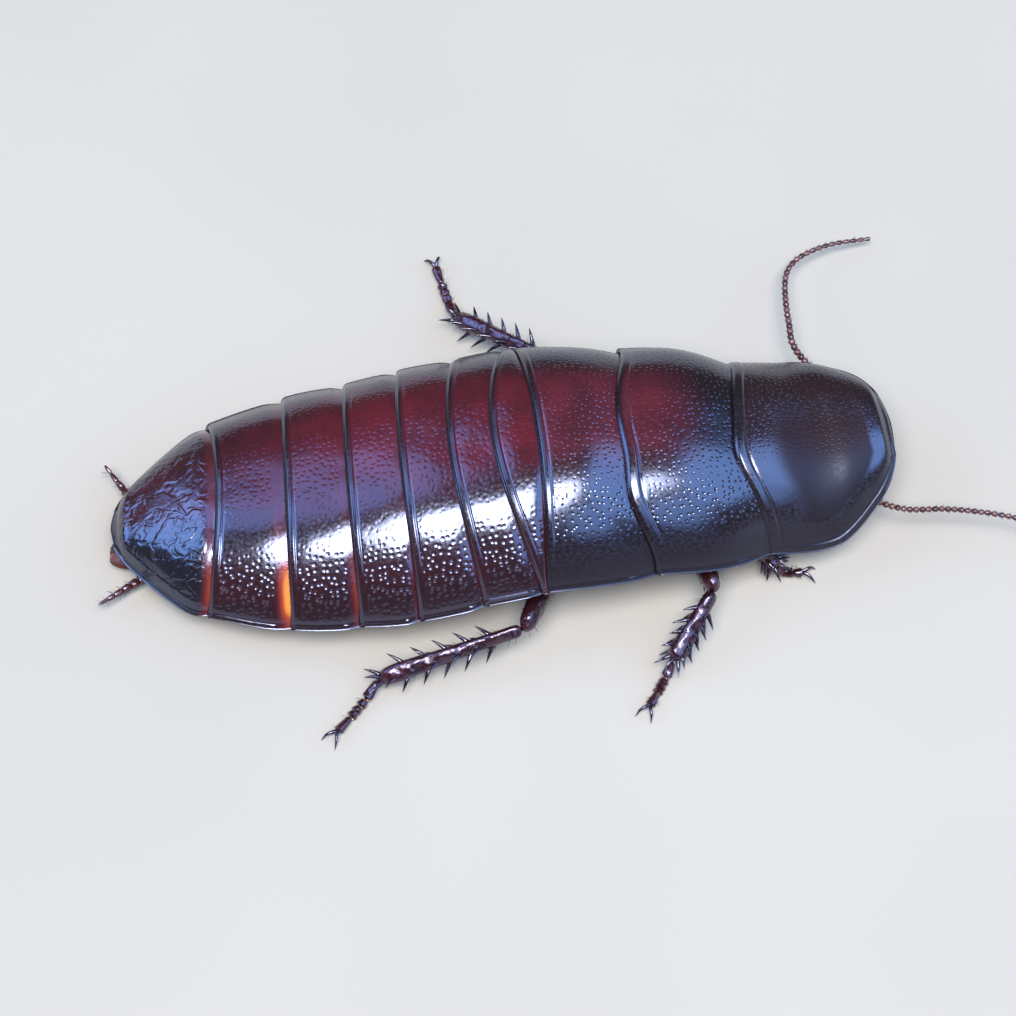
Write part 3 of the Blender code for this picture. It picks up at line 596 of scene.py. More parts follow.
def belly_height(s, t):
    belly = station(BODY, s, 4)
    flange = station(BODY, s, 2) - PLATE_EDGE
    blend = smooth(np.abs(t), FLANGE_START, FLANGE_END)
    rounded_belly = belly + BELLY_RISE * np.minimum(np.abs(t) / FLANGE_START, 1.0) ** 4
    return np.minimum(rounded_belly, flange) * (1 - blend) + flange * blend


def make_core():
    """The soft body between the plates, which shows in their gaps and at the leg roots."""
    s = rows_along([(*CORE_ENDS, 90)])
    t = margin_spaced(48)
    in_hood = s > HOOD_START
    narrow = CORE_WIDTH - 0.32 * smooth(s, 11.8, 13.2) - 0.22 * smooth(s, 21.5, 23.4)
    y = t * narrow * np.where(in_hood, station(PRONOTUM, s, 1), station(BODY, s, 1))
    back = np.where(in_hood, back_height(PRONOTUM, s, t * narrow), back_height(BODY, s, t * narrow))
    high = back - CORE_BELOW_BACK
    low_abdomen = belly_height(s, t * CORE_WIDTH) + CORE_ABOVE_BELLY
    low_thorax = station(BODY, s, 4) + CORE_ABOVE_BELLY + 0.35 * np.abs(t) ** 3
    blend = smooth(s, 12.8, 14.0)
    low = np.minimum(low_abdomen * (1 - blend) + low_thorax * blend, high - 0.05)
    top = on_body(s, y, high)
    make_sheet("body_core", top, on_body(s, y, low), UNMARKED, top, "membrane")


def belly_line(plate, t):
    """The belly plates end straighter than the back plates do."""
    s_middle, forward, _bend = HIND_MARGIN[plate]
    return s_middle + 0.5 * forward * t * t


def make_sternites():
    """Overlapping belly plates."""
    lump_size, lump_height = BELLY_LUMPS
    for k in range(1, STERNITES + 1):
        name = f"abdomen_{k}"
        before = PLATES[PLATES.index("abdomen_1") + k - 2]
        t = np.linspace(-BELLY_REACH, BELLY_REACH, 90)[None, :]
        v = rows_along(BELLY_ROWS)
        front = belly_line(before, t)
        hind = belly_line(name, t) if k < STERNITES else LAST_BELLY_END
        s = front + (hind - front) * v
        if k == 1:
            t = t * FIRST_BELLY_WIDTH
        y = t * station(BODY, s, 1)
        to_hind = np.clip(s - hind, 0, None)
        fall = 0.05 * (1 - v) + 0.03 * (1 - smooth(to_hind, 0.0, 0.06)) + ridge(to_hind, 0.26, 0.05, 0.012)
        z = belly_height(s, t) + fall
        z = z + lump_height * lumps(on_body(s, y, z), lump_size, k)
        marks = (0.4 + 0.4 * v, smooth(to_hind, 0.2, 0.3), 0.0, 0.0)
        plan = np.stack(np.broadcast_arrays(s, y, 40.0 + k), -1)
        high = on_body(s, y, z + BELLY_THICKNESS)
        make_sheet(f"{name}_sternite", high, on_body(s, y, z), marks, plan, "belly_cuticle")


def make_subgenital():
    u = rows_along([(0, 1, 40)])
    t = margin_spaced(40)
    front, hind = UNDERTAIL_ENDS
    at_front, more_behind = UNDERTAIL_SHIFT
    s = front * (1 - u) + hind * u
    y = t * UNDERTAIL_WIDTH * np.sqrt(1 - 0.93 * u**3) - at_front - more_behind * u**2
    under = UNDERTAIL_HEIGHT + UNDERTAIL_CURL * (t * t + u**2) + ridge(t, 0, 0.2, 0.05) * u
    top = on_body(s, y, under + UNDERTAIL_THICKNESS * (1 - 0.6 * t * t) * (1 - 0.6 * u**4))
    marks = (0.25, 0.0, 0.0, 0.0)
    low = on_body(s, y, under)
    make_sheet("tail_underplate", top, low, marks, top, "membrane", ["subgenital_plate"])


def make_sterna():
    """The keeled plates under the thorax, between the coxae."""
    for name, (s_front, s_hind) in STERNA.items():
        table = PRONOTUM if name == "prosternum" else BODY
        u = rows_along([(0, 1, 30)])
        t = margin_spaced(50, 0.3)
        s = s_front * (1 - u) + s_hind * u
        y = t * STERNUM_REACH * station(table, s, 1) * (1 - 0.25 * np.abs(2 * u - 1) ** 3)
        under = station(table, s, 4) + STERNUM_RISE * np.abs(t) ** 4
        keel = ridge(y, 0, 0.12, KEEL) * np.sin(math.pi * u) - ridge(np.abs(y), 0.55, 0.15, KEEL_GROOVE)
        low = on_body(s, y, under - keel * 0.6 + 0.04)
        high = on_body(s, y, under + STERNUM_THICKNESS)
        make_sheet(f"{name}_plate", high, low, (0.7, 0.4, 0.0, 0.0), low, "belly_cuticle", [name])


# Limbs

CURVE_STEPS = 24
FINE_SPACING = 0.05
LIMB_TONE = (0.5, 0.0, 0.0, 0.0)
# Least heights of a spine's tip, of a hair's tip and of the underside of a joint.
SPINE_FLOOR = 0.06
HAIR_FLOOR = 0.05
FOOT_CLEARANCE = 0.015
# A spine or hair: how far along, and the share of its radius there.
THORN_PROFILE = ((0.0, 1.0), (0.3, 0.86), (0.6, 0.6), (0.85, 0.3), (1.0, 0.06))
HAIR_RADIUS = 0.012


def smooth_path(points, spacing):
    """Points at an even spacing along a smooth curve through the given points."""
    rows = [Vector(point) for point in points]
    fine = []
    for k in range(len(rows) - 1):
        before, start = rows[max(k - 1, 0)], rows[k]
        end, after = rows[k + 1], rows[min(k + 2, len(rows) - 1)]
        for step in range(CURVE_STEPS):
            u = step / CURVE_STEPS
            bend = (2 * start - 2 * end + (end - before) / 2 + (after - start) / 2) * u**3
            lean = (3 * end - 3 * start - (end - before) - (after - start) / 2) * u**2
            fine.append(start + (end - before) / 2 * u + lean + bend)
    fine.append(rows[-1])
    lengths = [0.0]
    for first, second in zip(fine, fine[1:]):
        lengths.append(lengths[-1] + (second - first).length)
    count = max(round(lengths[-1] / spacing), 1)
    path, k = [], 0
    for n in range(count + 1):
        wanted = lengths[-1] * n / count
        while k < len(fine) - 2 and lengths[k + 1] < wanted:
            k += 1
        part = (wanted - lengths[k]) / max(lengths[k + 1] - lengths[k], 1e-9)
        path.append(fine[k].lerp(fine[k + 1], part))
    return path


def on_path(path, place):
    """The point at a place that is counted in steps of the path, and at its end for places beyond it."""
    place = min(place, len(path) - 1)
    base = min(int(place), len(path) - 2)
    return path[base].lerp(path[base + 1], place - base)


def toward(start, end, distance):
    return start + (end - start).normalized() * distance


def limb_axes(start, end, up=UP):
    axis = (end - start).normalized()
    side = axis.cross(up).normalized()
    return axis, side, side.cross(axis).normalized()


def around(axes, angle):
    """The direction out of a limb piece at an angle around it."""
    return axes[1] * math.cos(angle) + axes[2] * math.sin(angle)


def rounded(u, reach, least):
    """Shrinks a section near an end, like a round cap: u is the distance from that end."""
    return math.sqrt(max(1 - max(1 - u / reach, 0) ** 2, least))


def add_loft(shape, centres, sizes, sides, up=UP, tone=UNMARKED, relief=None):
    """Oval rings along centres: sizes holds the half width and half depth of each, depth lying along up."""
    points, plans = [], []
    last = len(centres) - 1
    for k, (centre, (wide, deep)) in enumerate(zip(centres, sizes)):
        _axis, side, depth = limb_axes(centres[max(k - 1, 0)], centres[min(k + 1, last)], up)
        for n in range(sides):
            angle = 2 * math.pi * n / sides
            grow = relief(k / last, angle) if relief else 1.0
            offset = side * (wide * math.cos(angle)) + depth * (deep * math.sin(angle))
            points.append(centre + offset * grow)
            plans.append((k / last * 3, n / sides * 3, 0.0))
    faces = []
    for k in range(last):
        for n in range(sides):
            m = (n + 1) % sides
            faces.append((k * sides + n, (k + 1) * sides + n, (k + 1) * sides + m, k * sides + m))
    faces.append(tuple(range(sides)))
    faces.append(tuple(last * sides + n for n in range(sides - 1, -1, -1)))
    shape.add(points, faces, tone, plans)


def add_joint(shape, path, first, last, profile, sides, tone):
    """A joint between two places on a path: profile holds how far along it, and the radius there."""
    centres, sizes = [], []
    for u, radius in profile:
        centre = on_path(path, first + (last - first) * u)
        centres.append(centre)
        sizes.append((radius, min(radius, centre.z - FOOT_CLEARANCE)))
    add_loft(shape, centres, sizes, sides, tone=tone)
    return centres


def add_thorn(shape, root, tip, radius, arch=0.0, sides=6):
    """A curved spine or hair that thins to a point."""
    length = (tip - root).length
    centres = [root.lerp(tip, u) + UP * (arch * length * 4 * u * (1 - u)) for u, _grow in THORN_PROFILE]
    sizes = [(radius * grow, radius * grow) for _u, grow in THORN_PROFILE]
    upright = abs((tip - root).normalized().z) >= 0.9
    add_loft(shape, centres, sizes, sides, Vector((1, 0, 0)) if upright else UP)


def add_limb(shape, start, end, size, profile, relief=None, rings=26, sides=28, bow=0.0):
    """A tapered limb piece with rounded ends."""
    axis = end - start
    depth = limb_axes(start, end)[2]
    fractions = 0.5 - 0.5 * np.cos(np.linspace(0, math.pi, rings))
    factors = station(profile, fractions, 1)
    cap = max(size) * 0.8 / axis.length
    centres, sizes = [], []
    for u, factor in zip(fractions, factors):
        factor = factor * rounded(u, cap, 0.004) * rounded(1 - u, cap, 0.004)
        centres.append(start + axis * u + depth * (bow * 4 * u * (1 - u)))
        sizes.append((size[0] * factor, size[1] * factor))
    add_loft(shape, centres, sizes, sides, UP, LIMB_TONE, relief)


def add_hairs(shape, start, end, size, count, length, radius=HAIR_RADIUS):
    """Short hairs scattered on a limb piece, leaning towards its far end."""
    axes = axis, side, depth = limb_axes(start, end)
    for _ in range(count):
        angle = rng.uniform(0, 2 * math.pi)
        out = around(axes, angle)
        skin = side * (math.cos(angle) * size[0]) + depth * (math.sin(angle) * size[1])
        root = start.lerp(end, rng.uniform(0.05, 0.95)) + skin * 0.75
        tip = root + (out * 0.6 + axis * 0.8) * (length * rng.uniform(0.7, 1.2)) + out * 0.08
        if tip.z > HAIR_FLOOR:
            add_thorn(shape, root, tip, radius, sides=3)


# Legs

COXA_SIZE = (0.80, 0.36)
TROCHANTER_SIZE = (0.27, 0.30)
FEMUR_SIZE = {"front": (0.34, 0.46), "middle": (0.34, 0.48), "hind": (0.36, 0.54)}
TIBIA_SIZE = {"front": (0.25, 0.28), "middle": (0.30, 0.34), "hind": (0.28, 0.34)}
COXA_PROFILE = ((0.0, 0.62), (0.12, 0.86), (0.4, 1.0), (0.75, 0.82), (0.93, 0.6), (1.0, 0.42))
TROCHANTER_PROFILE = ((0, 0.8), (0.5, 1), (1, 0.9))
FEMUR_PROFILE = ((0.0, 0.5), (0.10, 0.78), (0.38, 1.0), (0.75, 0.86), (0.93, 0.72), (1.0, 0.62))
TIBIA_PROFILE = ((0.0, 0.80), (0.08, 0.74), (0.5, 0.84), (0.88, 1.06), (1.0, 0.84))
TIBIA_BOW = 0.04
# Distances from the joints at which each piece starts or ends, past the joint where they are negative.
COXA_PAST = -0.05
TROCHANTER_ENDS = (-0.20, 0.62)
FEMUR_SET_BACK = 0.42
KNEE_PAST = -0.06
TIBIA_SET_BACK = 0.10
TARSUS_SET_BACK = 0.02
SPINES_SET_BACK = 0.4
# Spines of the tibia: angles of their rows, number and length, then where they start and how far they spread.
SPINE_ROWS = (35, 145, 215, 325)
SPINES_IN_ROW = {"front": 3, "middle": 4, "hind": 5}
SPINE_LENGTH = {"front": 0.50, "middle": 0.62, "hind": 0.68}
SPINE_FIRST = 0.16
SPINE_SPREAD = 0.78
SPUR_ANGLES = (20, 90, 160, 250, 290)
# Radius of a spine and of a spur, and how far each arches upwards for its length.
SPINE_SHAPE = (0.085, 0.06)
SPUR_SHAPE = (0.075, 0.05)
FEMUR_SPINES = 4
FEMUR_SPINE_RADIUS = 0.06
# Hairs on each piece: number and length.
FEMUR_HAIRS = (26, 0.16)
TIBIA_HAIRS = (40, 0.18)
TARSUS_HAIRS = (16, 0.12)
TARSUS_HAIR_RADIUS = 0.010
# Foot: radius, where its path is lowest and how low, the share of each joint, and the gap before it.
TARSUS_RADIUS = 0.19
TARSUS_BEND = 0.38
TARSUS_LOW = 0.25
TARSUS_SHARES = (0.34, 0.13, 0.11, 0.10, 0.32)
TARSUS_GAP = 0.012
TARSUS_TONE = (0.7, 0.0, 0.0, 0.0)
# Foot pads: half length, least height, places of the sections, and their half width and depth.
PAD_LENGTH = 0.10
PAD_HEIGHT = 0.07
PAD_PLACES = (-1.0, -0.5, 0.0, 0.5, 1.0)
PAD_SIZES = ((0.03, 0.02), (0.10, 0.055), (0.12, 0.065), (0.10, 0.055), (0.03, 0.02))
PAD_TONE = (0.6, 0.0, 0.8, 0.0)
# Claws: half the angle between them, radius, and the height of each point from root to tip.
CLAW_SPREAD = 34
CLAW_RADIUS = 0.085
CLAW_HEIGHTS = (0.24, 0.31, 0.27, 0.03)


def coxa_relief(u, angle):
    groove = ridge(math.sin(angle), -0.75, 0.16, 0.10)
    return 1 + 0.07 * math.cos(angle * 2) - groove * math.sin(math.pi * u)


def femur_relief(u, angle):
    groove = ridge(angle, 1.5 * math.pi, 0.30, 0.16)
    return 1 + 0.04 * math.cos(2 * angle) - groove * math.sin(math.pi * min(u * 1.1, 1))


def tibia_relief(u, angle):
    return 1 + 0.03 * math.cos(4 * angle) + 0.03 * math.cos(3 * angle + 5 * u)


def femur_spines(shape, start, end, size):
    axis, side, depth = limb_axes(start, end)
    for k in range(FEMUR_SPINES):
        centre = start.lerp(end, 0.35 + 0.15 * k)
        root = centre - depth * (size[1] * 0.7) + side * 0.1
        tip = centre - depth * (size[1] + 0.28) + axis * 0.2 + side * 0.15
        if tip.z > SPINE_FLOOR:
            add_thorn(shape, root, tip, FEMUR_SPINE_RADIUS, sides=7)


def tibia_spines(shape, pair, start, end, size):
    """Four rows of spines, and a ring of spurs around the far end."""
    axes = limb_axes(start, end)
    axis = axes[0]
    count = SPINES_IN_ROW[pair]
    for row, degrees in enumerate(SPINE_ROWS):
        out = around(axes, math.radians(degrees))
        for k in range(count):
            along = SPINE_FIRST + SPINE_SPREAD * (k + 0.5 * (row % 2)) / count
            centre = start.lerp(end, along)
            reach = 0.54 * SPINE_LENGTH[pair] * rng.uniform(0.85, 1.2)
            tip = centre + out * (size[0] + reach) + axis * (reach * 1.1)
            if tip.z > SPINE_FLOOR:
                add_thorn(shape, centre + out * (0.55 * size[0]), tip, *SPINE_SHAPE, sides=8)
    for degrees in SPUR_ANGLES:
        out = around(axes, math.radians(degrees))
        root = end + out * (0.5 * size[0]) - axis * 0.1
        tip = end + out * (size[0] + 0.20) + axis * 0.38
        if tip.z > SPINE_FLOOR:
            add_thorn(shape, root, tip, *SPUR_SHAPE, sides=8)


def add_tarsus(shape, start, tip):
    """Five joints, each widening to its end over a pale pad."""
    low = start.lerp(tip, TARSUS_BEND)
    low.z = TARSUS_LOW
    path = smooth_path((start, low, tip), FINE_SPACING)
    steps = len(path) - 1
    begin = 0.0
    for k, share in enumerate(TARSUS_SHARES):
        padded = k < len(TARSUS_SHARES) - 1
        profile = []
        for u in np.linspace(0, 1, 10):
            swell = 0.62 + 0.38 * u if padded else 0.55 + 0.35 * u
            ends = rounded(u, 0.12, 0.02) * rounded(1 - u, 0.15, 0.02)
            profile.append((u, TARSUS_RADIUS * swell * ends))
        first, last = (begin + TARSUS_GAP) * steps, (begin + share) * steps
        centres = add_joint(shape, path, first, last, profile, 16, TARSUS_TONE)
        if padded:
            pad = centres[-2].copy()
            pad.z = max(PAD_HEIGHT, pad.z - TARSUS_RADIUS * 0.72)
            ahead = (centres[-1] - centres[-3]).normalized() * PAD_LENGTH
            ahead.z = 0
            add_loft(shape, [pad + ahead * place for place in PAD_PLACES], PAD_SIZES, 12, tone=PAD_TONE)
        begin += share


def add_claws(shape, start, tip):
    forward = (tip - start.lerp(tip, TARSUS_BEND)).normalized()
    forward.z = 0
    for turn in (-CLAW_SPREAD, CLAW_SPREAD):
        out = Matrix.Rotation(math.radians(turn), 3, "Z") @ forward
        points = [tip - forward * 0.06, tip + out * 0.16, tip + out * 0.36, tip + out * 0.50 + forward * 0.06]
        for point, height in zip(points, CLAW_HEIGHTS):
            point.z = height
        path = smooth_path(points, FINE_SPACING)
        sizes = []
        for k, centre in enumerate(path):
            radius = CLAW_RADIUS * (1 - 0.9 * (k / (len(path) - 1)) ** 1.4)
            sizes.append((radius * 0.8, max(min(radius, centre.z - 0.004), 0.006)))
        add_loft(shape, path, sizes, 10)


def make_leg(place):
    pair = place.split("_")[0]
    top, trochanter, knee, ankle, tip = (Vector(point) for point in LEGS[place])
    femur_size, tibia_size = FEMUR_SIZE[pair], TIBIA_SIZE[pair]

    coxa = Shape()
    add_limb(coxa, top, toward(trochanter, top, COXA_PAST), COXA_SIZE, COXA_PROFILE, coxa_relief, sides=36)
    make_object(f"leg_{place}_coxa_plate", coxa, "limb_cuticle", [f"leg_{place}_coxa"])

    femur = Shape()
    start, end = (toward(trochanter, knee, distance) for distance in TROCHANTER_ENDS)
    add_limb(femur, start, end, TROCHANTER_SIZE, TROCHANTER_PROFILE, sides=20)
    start, end = toward(trochanter, knee, FEMUR_SET_BACK), toward(knee, trochanter, KNEE_PAST)
    add_limb(femur, start, end, femur_size, FEMUR_PROFILE, femur_relief)
    femur_spines(femur, start, end, femur_size)
    add_hairs(femur, start, end, femur_size, *FEMUR_HAIRS)
    make_object(f"leg_{place}_femur_piece", femur, "limb_cuticle", [f"leg_{place}_femur"])

    tibia = Shape()
    start = toward(knee, ankle, TIBIA_SET_BACK)
    add_limb(tibia, start, ankle, tibia_size, TIBIA_PROFILE, tibia_relief, bow=TIBIA_BOW)
    tibia_spines(tibia, pair, toward(knee, ankle, SPINES_SET_BACK), ankle, tibia_size)
    add_hairs(tibia, start, ankle, tibia_size, *TIBIA_HAIRS)
    make_object(f"leg_{place}_tibia_piece", tibia, "limb_cuticle", [f"leg_{place}_tibia"])

    tarsus, claws = Shape(), Shape()
    start = toward(ankle, tip, TARSUS_SET_BACK)
    add_tarsus(tarsus, start, tip)
    hairs_start = toward(ankle, tip, SPINES_SET_BACK)
    add_hairs(tarsus, hairs_start, tip, (0.16, 0.16), *TARSUS_HAIRS, TARSUS_HAIR_RADIUS)
    make_object(f"leg_{place}_tarsus_piece", tarsus, "limb_cuticle", [f"leg_{place}_tarsus"])
    add_claws(claws, start, tip)
    make_object(f"leg_{place}_claws", claws, "claw_cuticle")


# Feelers and cerci

ANTENNA_RADIUS = {"left": 0.135, "right": 0.105}
ANTENNA_PARTS = ("base", "middle", "tip")
ANTENNA_SPACING = 0.03
# The two thick joints at the root of a feeler: start, length and share of the radius.
ANTENNA_ROOT_JOINTS = ((0.0, 0.55, 1.35), (0.55, 0.28, 1.1))
BEADS_START = 0.83
BEADS_END_GAP = 0.12
BEAD_PITCH = 0.185
BEAD_PITCH_GROWTH = 0.09
BEAD_PROFILE = ((0.0, 0.45), (0.16, 0.80), (0.5, 1.0), (0.80, 0.88), (0.97, 0.48))
BRISTLES = 4
BRISTLE_RADIUS = 0.007
CERCUS_JOINTS = 8
CERCUS_RADIUS = 0.20
CERCUS_TAPER = 0.78
CERCUS_GAP = 0.01
CERCUS_HIDDEN = 0.9
CERCUS_PROFILE = ((0.0, 0.75), (0.12, 0.95), (0.5, 1.0), (0.88, 0.96), (1.0, 0.72))
CERCUS_HAIRS = (45, 0.18)
CERCUS_TONE = (0.8, 0.0, 0.07, 0.0)


def make_antenna(side):
    """A string of beads with bristles, which get longer and thinner towards the tip."""
    path = smooth_path(ANTENNAE[side], ANTENNA_SPACING)
    steps = len(path) - 1
    total = steps * ANTENNA_SPACING
    thick = ANTENNA_RADIUS[side]
    joints = [(start, length, thick * share) for start, length, share in ANTENNA_ROOT_JOINTS]
    place = BEADS_START
    while place < total - BEADS_END_GAP:
        share = place / total
        pitch = BEAD_PITCH + BEAD_PITCH_GROWTH * share
        joints.append((place, pitch, thick * (1.0 - 0.45 * share**1.5)))
        place += pitch
    shape = Shape()
    for k, (start, length, radius) in enumerate(joints):
        profile = [(u, radius * grow) for u, grow in BEAD_PROFILE]
        first, last = start / ANTENNA_SPACING, (start + length) / ANTENNA_SPACING
        centres = add_joint(shape, path, first, last, profile, 12, (0.5, 0.0, 0.3 * (k % 2), 0.0))
        if k >= len(ANTENNA_ROOT_JOINTS):
            axes = limb_axes(centres[0], centres[-1])
            for _ in range(BRISTLES):
                out = around(axes, rng.uniform(0, 2 * math.pi))
                root = centres[2] + out * (radius * 0.8)
                add_thorn(shape, root, root + out * 0.09 + axes[0] * 0.07, BRISTLE_RADIUS, sides=3)
    nodes = [f"antenna_{side}_{part}" for part in ANTENNA_PARTS]
    make_object(f"antenna_{side}_beads", shape, "antenna_cuticle", nodes)


def make_cercus(side):
    root, tip = (Vector(point) for point in CERCI[side])
    inner = toward(root, tip, -CERCUS_HIDDEN)
    ends = [k / CERCUS_JOINTS for k in range(CERCUS_JOINTS + 1)]
    shape = Shape()
    for start, end in zip(ends, ends[1:]):
        big, small = (CERCUS_RADIUS * (1 - CERCUS_TAPER * along**1.6) for along in (start, end))
        profile = [(u, (big + (small - big) * u) * grow) for u, grow in CERCUS_PROFILE]
        add_joint(shape, (inner, tip), start, end - CERCUS_GAP, profile, 18, CERCUS_TONE)
    add_hairs(shape, inner, tip, (0.14, 0.14), *CERCUS_HAIRS, BRISTLE_RADIUS)
    make_object(f"cercus_{side}_piece", shape, "limb_cuticle", [f"cercus_{side}"])


# Head, from the crown under the pronotum down and back to the mouth

CROWN = Vector((12.40, 0.15, 2.72))
MOUTH = Vector((11.25, 0.12, 1.05))
HEAD_SIZE = (1.32, 0.70)
HEAD_PROFILE = (
    (0.0, 0.35), (0.08, 0.68), (0.25, 0.94), (0.45, 1.0), (0.68, 0.88), (0.88, 0.66), (1.0, 0.5),
)
HEAD_TONE = (0.3, 0.3, 0.0, 0.0)
EYE_SIZE = (0.34, 0.26, 0.50)
EYE_PLACE = 0.34
EYE_FORWARD = 0.10
EYE_RINGS = 40
EYE_SIDES = 60
DOWN = (MOUTH - CROWN).normalized()
FRONT = Vector((-DOWN.z, 0, DOWN.x))
# Lip: how far forward and down it starts, its length, half width and half depth.
LIP_START = (0.30, 0.02)
LIP_LENGTH = 0.66
LIP_SIZE = (0.50, 0.12)
# Jaw: half width and depth, places of its teeth along it, and their radius.
JAW_SIZE = (0.20, 0.15)
JAW_TEETH = (0.45, 0.7)
JAW_TOOTH_RADIUS = 0.07
MOUTH_TONE = (0.8, 0.0, 0.35, 0.0)
# Palps: the share of the length that each joint takes, and the radius.
CHEEK_PALP = ((0.10, 0.12, 0.28, 0.24, 0.26), 0.15)
CHIN_PALP = ((0.24, 0.34, 0.42), 0.12)
PALP_SPACING = 0.02
PALP_HAIRS = (26, 0.09)
PALP_HAIR_RADIUS = 0.006


def face_relief(u, angle):
    """A flat brow, a groove above the lip, and hollows where the feelers start."""
    forward, sideways = max(math.sin(angle), 0), abs(math.cos(angle))
    groove = ridge(u, 0.74, 0.025, 0.05) * forward
    brow = ridge(u, 0.35, 0.22, 0.07) * forward**4
    socket = ridge(u, 0.42, 0.07, 0.14) * ridge(sideways, 0.62, 0.12) * (forward > 0)
    cheek = ridge(u, 0.72, 0.16, 0.05) * sideways**3
    return 1 - groove - brow - socket + cheek


def lip_relief(u, angle):
    return 1 - u * ridge(math.cos(angle), 0, 0.3, 0.10)


def make_lip():
    shape = Shape()
    forward, below = LIP_START
    lip = MOUTH + DOWN * below + FRONT * forward
    centres, sizes = [], []
    for u in np.linspace(0, 1, 14):
        centres.append(lip + DOWN * (LIP_LENGTH * u))
        wide = LIP_SIZE[0] * (1 - 0.45 * u**3) * (1 if u < 0.97 else 0.9)
        sizes.append((wide, LIP_SIZE[1] * (1 - 0.5 * u)))
    add_loft(shape, centres, sizes, 24, FRONT, MOUTH_TONE, lip_relief)
    make_object("upper_lip", shape, "limb_cuticle", ["labrum"])


def make_jaw(name, across):
    shape = Shape()
    jaw = MOUTH + DOWN * 0.02 - FRONT * 0.14 + across * 0.34
    points = (jaw, jaw + DOWN * 0.34 + across * 0.03, jaw + DOWN * 0.62 - across * 0.30)
    path = smooth_path(points, 0.06)
    steps = len(path) - 1
    sizes = []
    for k in range(len(path)):
        u = k / steps
        sizes.append((JAW_SIZE[0] * (1 - 0.75 * u**1.5), JAW_SIZE[1] * (1 - 0.6 * u)))
    add_loft(shape, path, sizes, 18, FRONT, (0.1, 0.0, 0.0, 0.0))
    for u in JAW_TEETH:
        root = path[int(u * steps)]
        add_thorn(shape, root, root - across * 0.20 + DOWN * 0.06, JAW_TOOTH_RADIUS)
    make_object(f"mandible_{name}_piece", shape, "claw_cuticle", [f"mandible_{name}"])


def make_palp(name, points, shares, radius):
    """A palp of short joints, the last one swollen and blunt."""
    path = smooth_path(points, PALP_SPACING)
    steps = len(path) - 1
    shape = Shape()
    begin = 0.0
    for k, share in enumerate(shares):
        profile = []
        for u in np.linspace(0, 1, 9):
            blunt = 0.62 + 0.5 * math.sin(math.pi * min(u * 0.75, 1))
            swell = 0.60 + 0.35 * u if k < len(shares) - 1 else blunt
            profile.append((u, radius * swell * rounded(u, 0.12, 0.03) * rounded(1 - u, 0.2, 0.03)))
        first, last = (begin + 0.02 * share) * steps, (begin + 0.97 * share) * steps
        add_joint(shape, path, first, last, profile, 16, MOUTH_TONE)
        begin += share
    start, size = path[len(path) // 2], (radius * 0.8, radius * 0.8)
    add_hairs(shape, start, path[-1], size, *PALP_HAIRS, PALP_HAIR_RADIUS)
    make_object(f"{name}_joints", shape, "limb_cuticle", [name])


def eye_matrix(side):
    centre = CROWN.lerp(MOUTH, EYE_PLACE) + Vector((EYE_FORWARD, side * HEAD_SIZE[0], 0.0))
    lean = (CROWN - MOUTH).to_track_quat("Z", "Y").to_matrix().to_4x4()
    size = Matrix.Diagonal((*EYE_SIZE, 1.0))
    return Matrix.Translation(centre) @ lean @ Matrix.Rotation(math.pi / 2, 4, "Z") @ size


def make_eye(name, side):
    matrix = eye_matrix(side)
    points = []
    for i in range(EYE_RINGS + 1):
        lat = math.pi * i / EYE_RINGS
        for j in range(EYE_SIDES):
            lon = 2 * math.pi * j / EYE_SIDES
            ball = Vector((math.sin(lat) * math.cos(lon), math.sin(lat) * math.sin(lon), math.cos(lat)))
            points.append(matrix @ ball)
    faces = []
    for i in range(EYE_RINGS):
        for j in range(EYE_SIDES):
            m = (j + 1) % EYE_SIDES
            row, below = i * EYE_SIDES, (i + 1) * EYE_SIDES
            faces.append((row + j, below + j, below + m, row + m))
    shape = Shape()
    shape.add(points, faces)
    make_object(f"eye_{name}_facets", shape, "compound_eye", [f"eye_{name}"], smooth_angle=180)


def make_head():
    shape = Shape()
    centres, sizes = [], []
    for u in np.linspace(0.0, 1.0, 44):
        factor = station(HEAD_PROFILE, u, 1) * rounded(u, 0.12, 0.01)
        centres.append(CROWN.lerp(MOUTH, u))
        sizes.append((HEAD_SIZE[0] * factor, HEAD_SIZE[1] * factor))
    add_loft(shape, centres, sizes, 56, Vector((1, 0, 0)), HEAD_TONE, face_relief)
    make_object("head_capsule", shape, "hood_cuticle", ["head"])
    make_lip()
    for name, y in (("left", 1), ("right", -1)):
        across = Vector((0, y, 0))
        make_jaw(name, across)
        cheek = MOUTH + across * 1.00 + Vector((0.05, 0, 0.18))
        bend = MOUTH + across * 1.56 + Vector((0.61, 0, -0.28))
        end = bend - across * 0.10 + Vector((0.80, 0, -0.25))
        make_palp(f"maxillary_palp_{name}", (cheek, bend, end), *CHEEK_PALP)
        chin = MOUTH + DOWN * 0.34 - FRONT * 0.46 + across * 0.56
        bend = chin + across * 0.22 + Vector((0.25, 0, -0.10))
        end = bend + across * 0.12 + Vector((0.60, 0, 0.0))
        make_palp(f"labial_palp_{name}", (chin, bend, end), *CHIN_PALP)
        make_eye(name, y)


# Materials

# Colours of the painted glow of light shining through a strip, dim and bright, and of the reflections on the
# plates and on the limbs.
PAINTED_GLOW_DIM = (0.16, 0.021, 0.009)
PAINTED_GLOW_BRIGHT = (0.48, 0.155, 0.032)
SHEEN = (0.55, 0.64, 1.0)
LIMB_SHEEN = (0.72, 0.68, 1.0)
CUTICLE_IOR = 1.65
LIMB_IOR = 1.6
# Height of the finest relief, of the limbs' lumps and of the tail's wrinkles, as a bump in millimetres.
GRAIN_DEPTH = 0.002
LIMB_GRAIN_DEPTH = 0.012
LIMB_LUMPS = 0.20
WRINKLE_DEPTH = 0.016
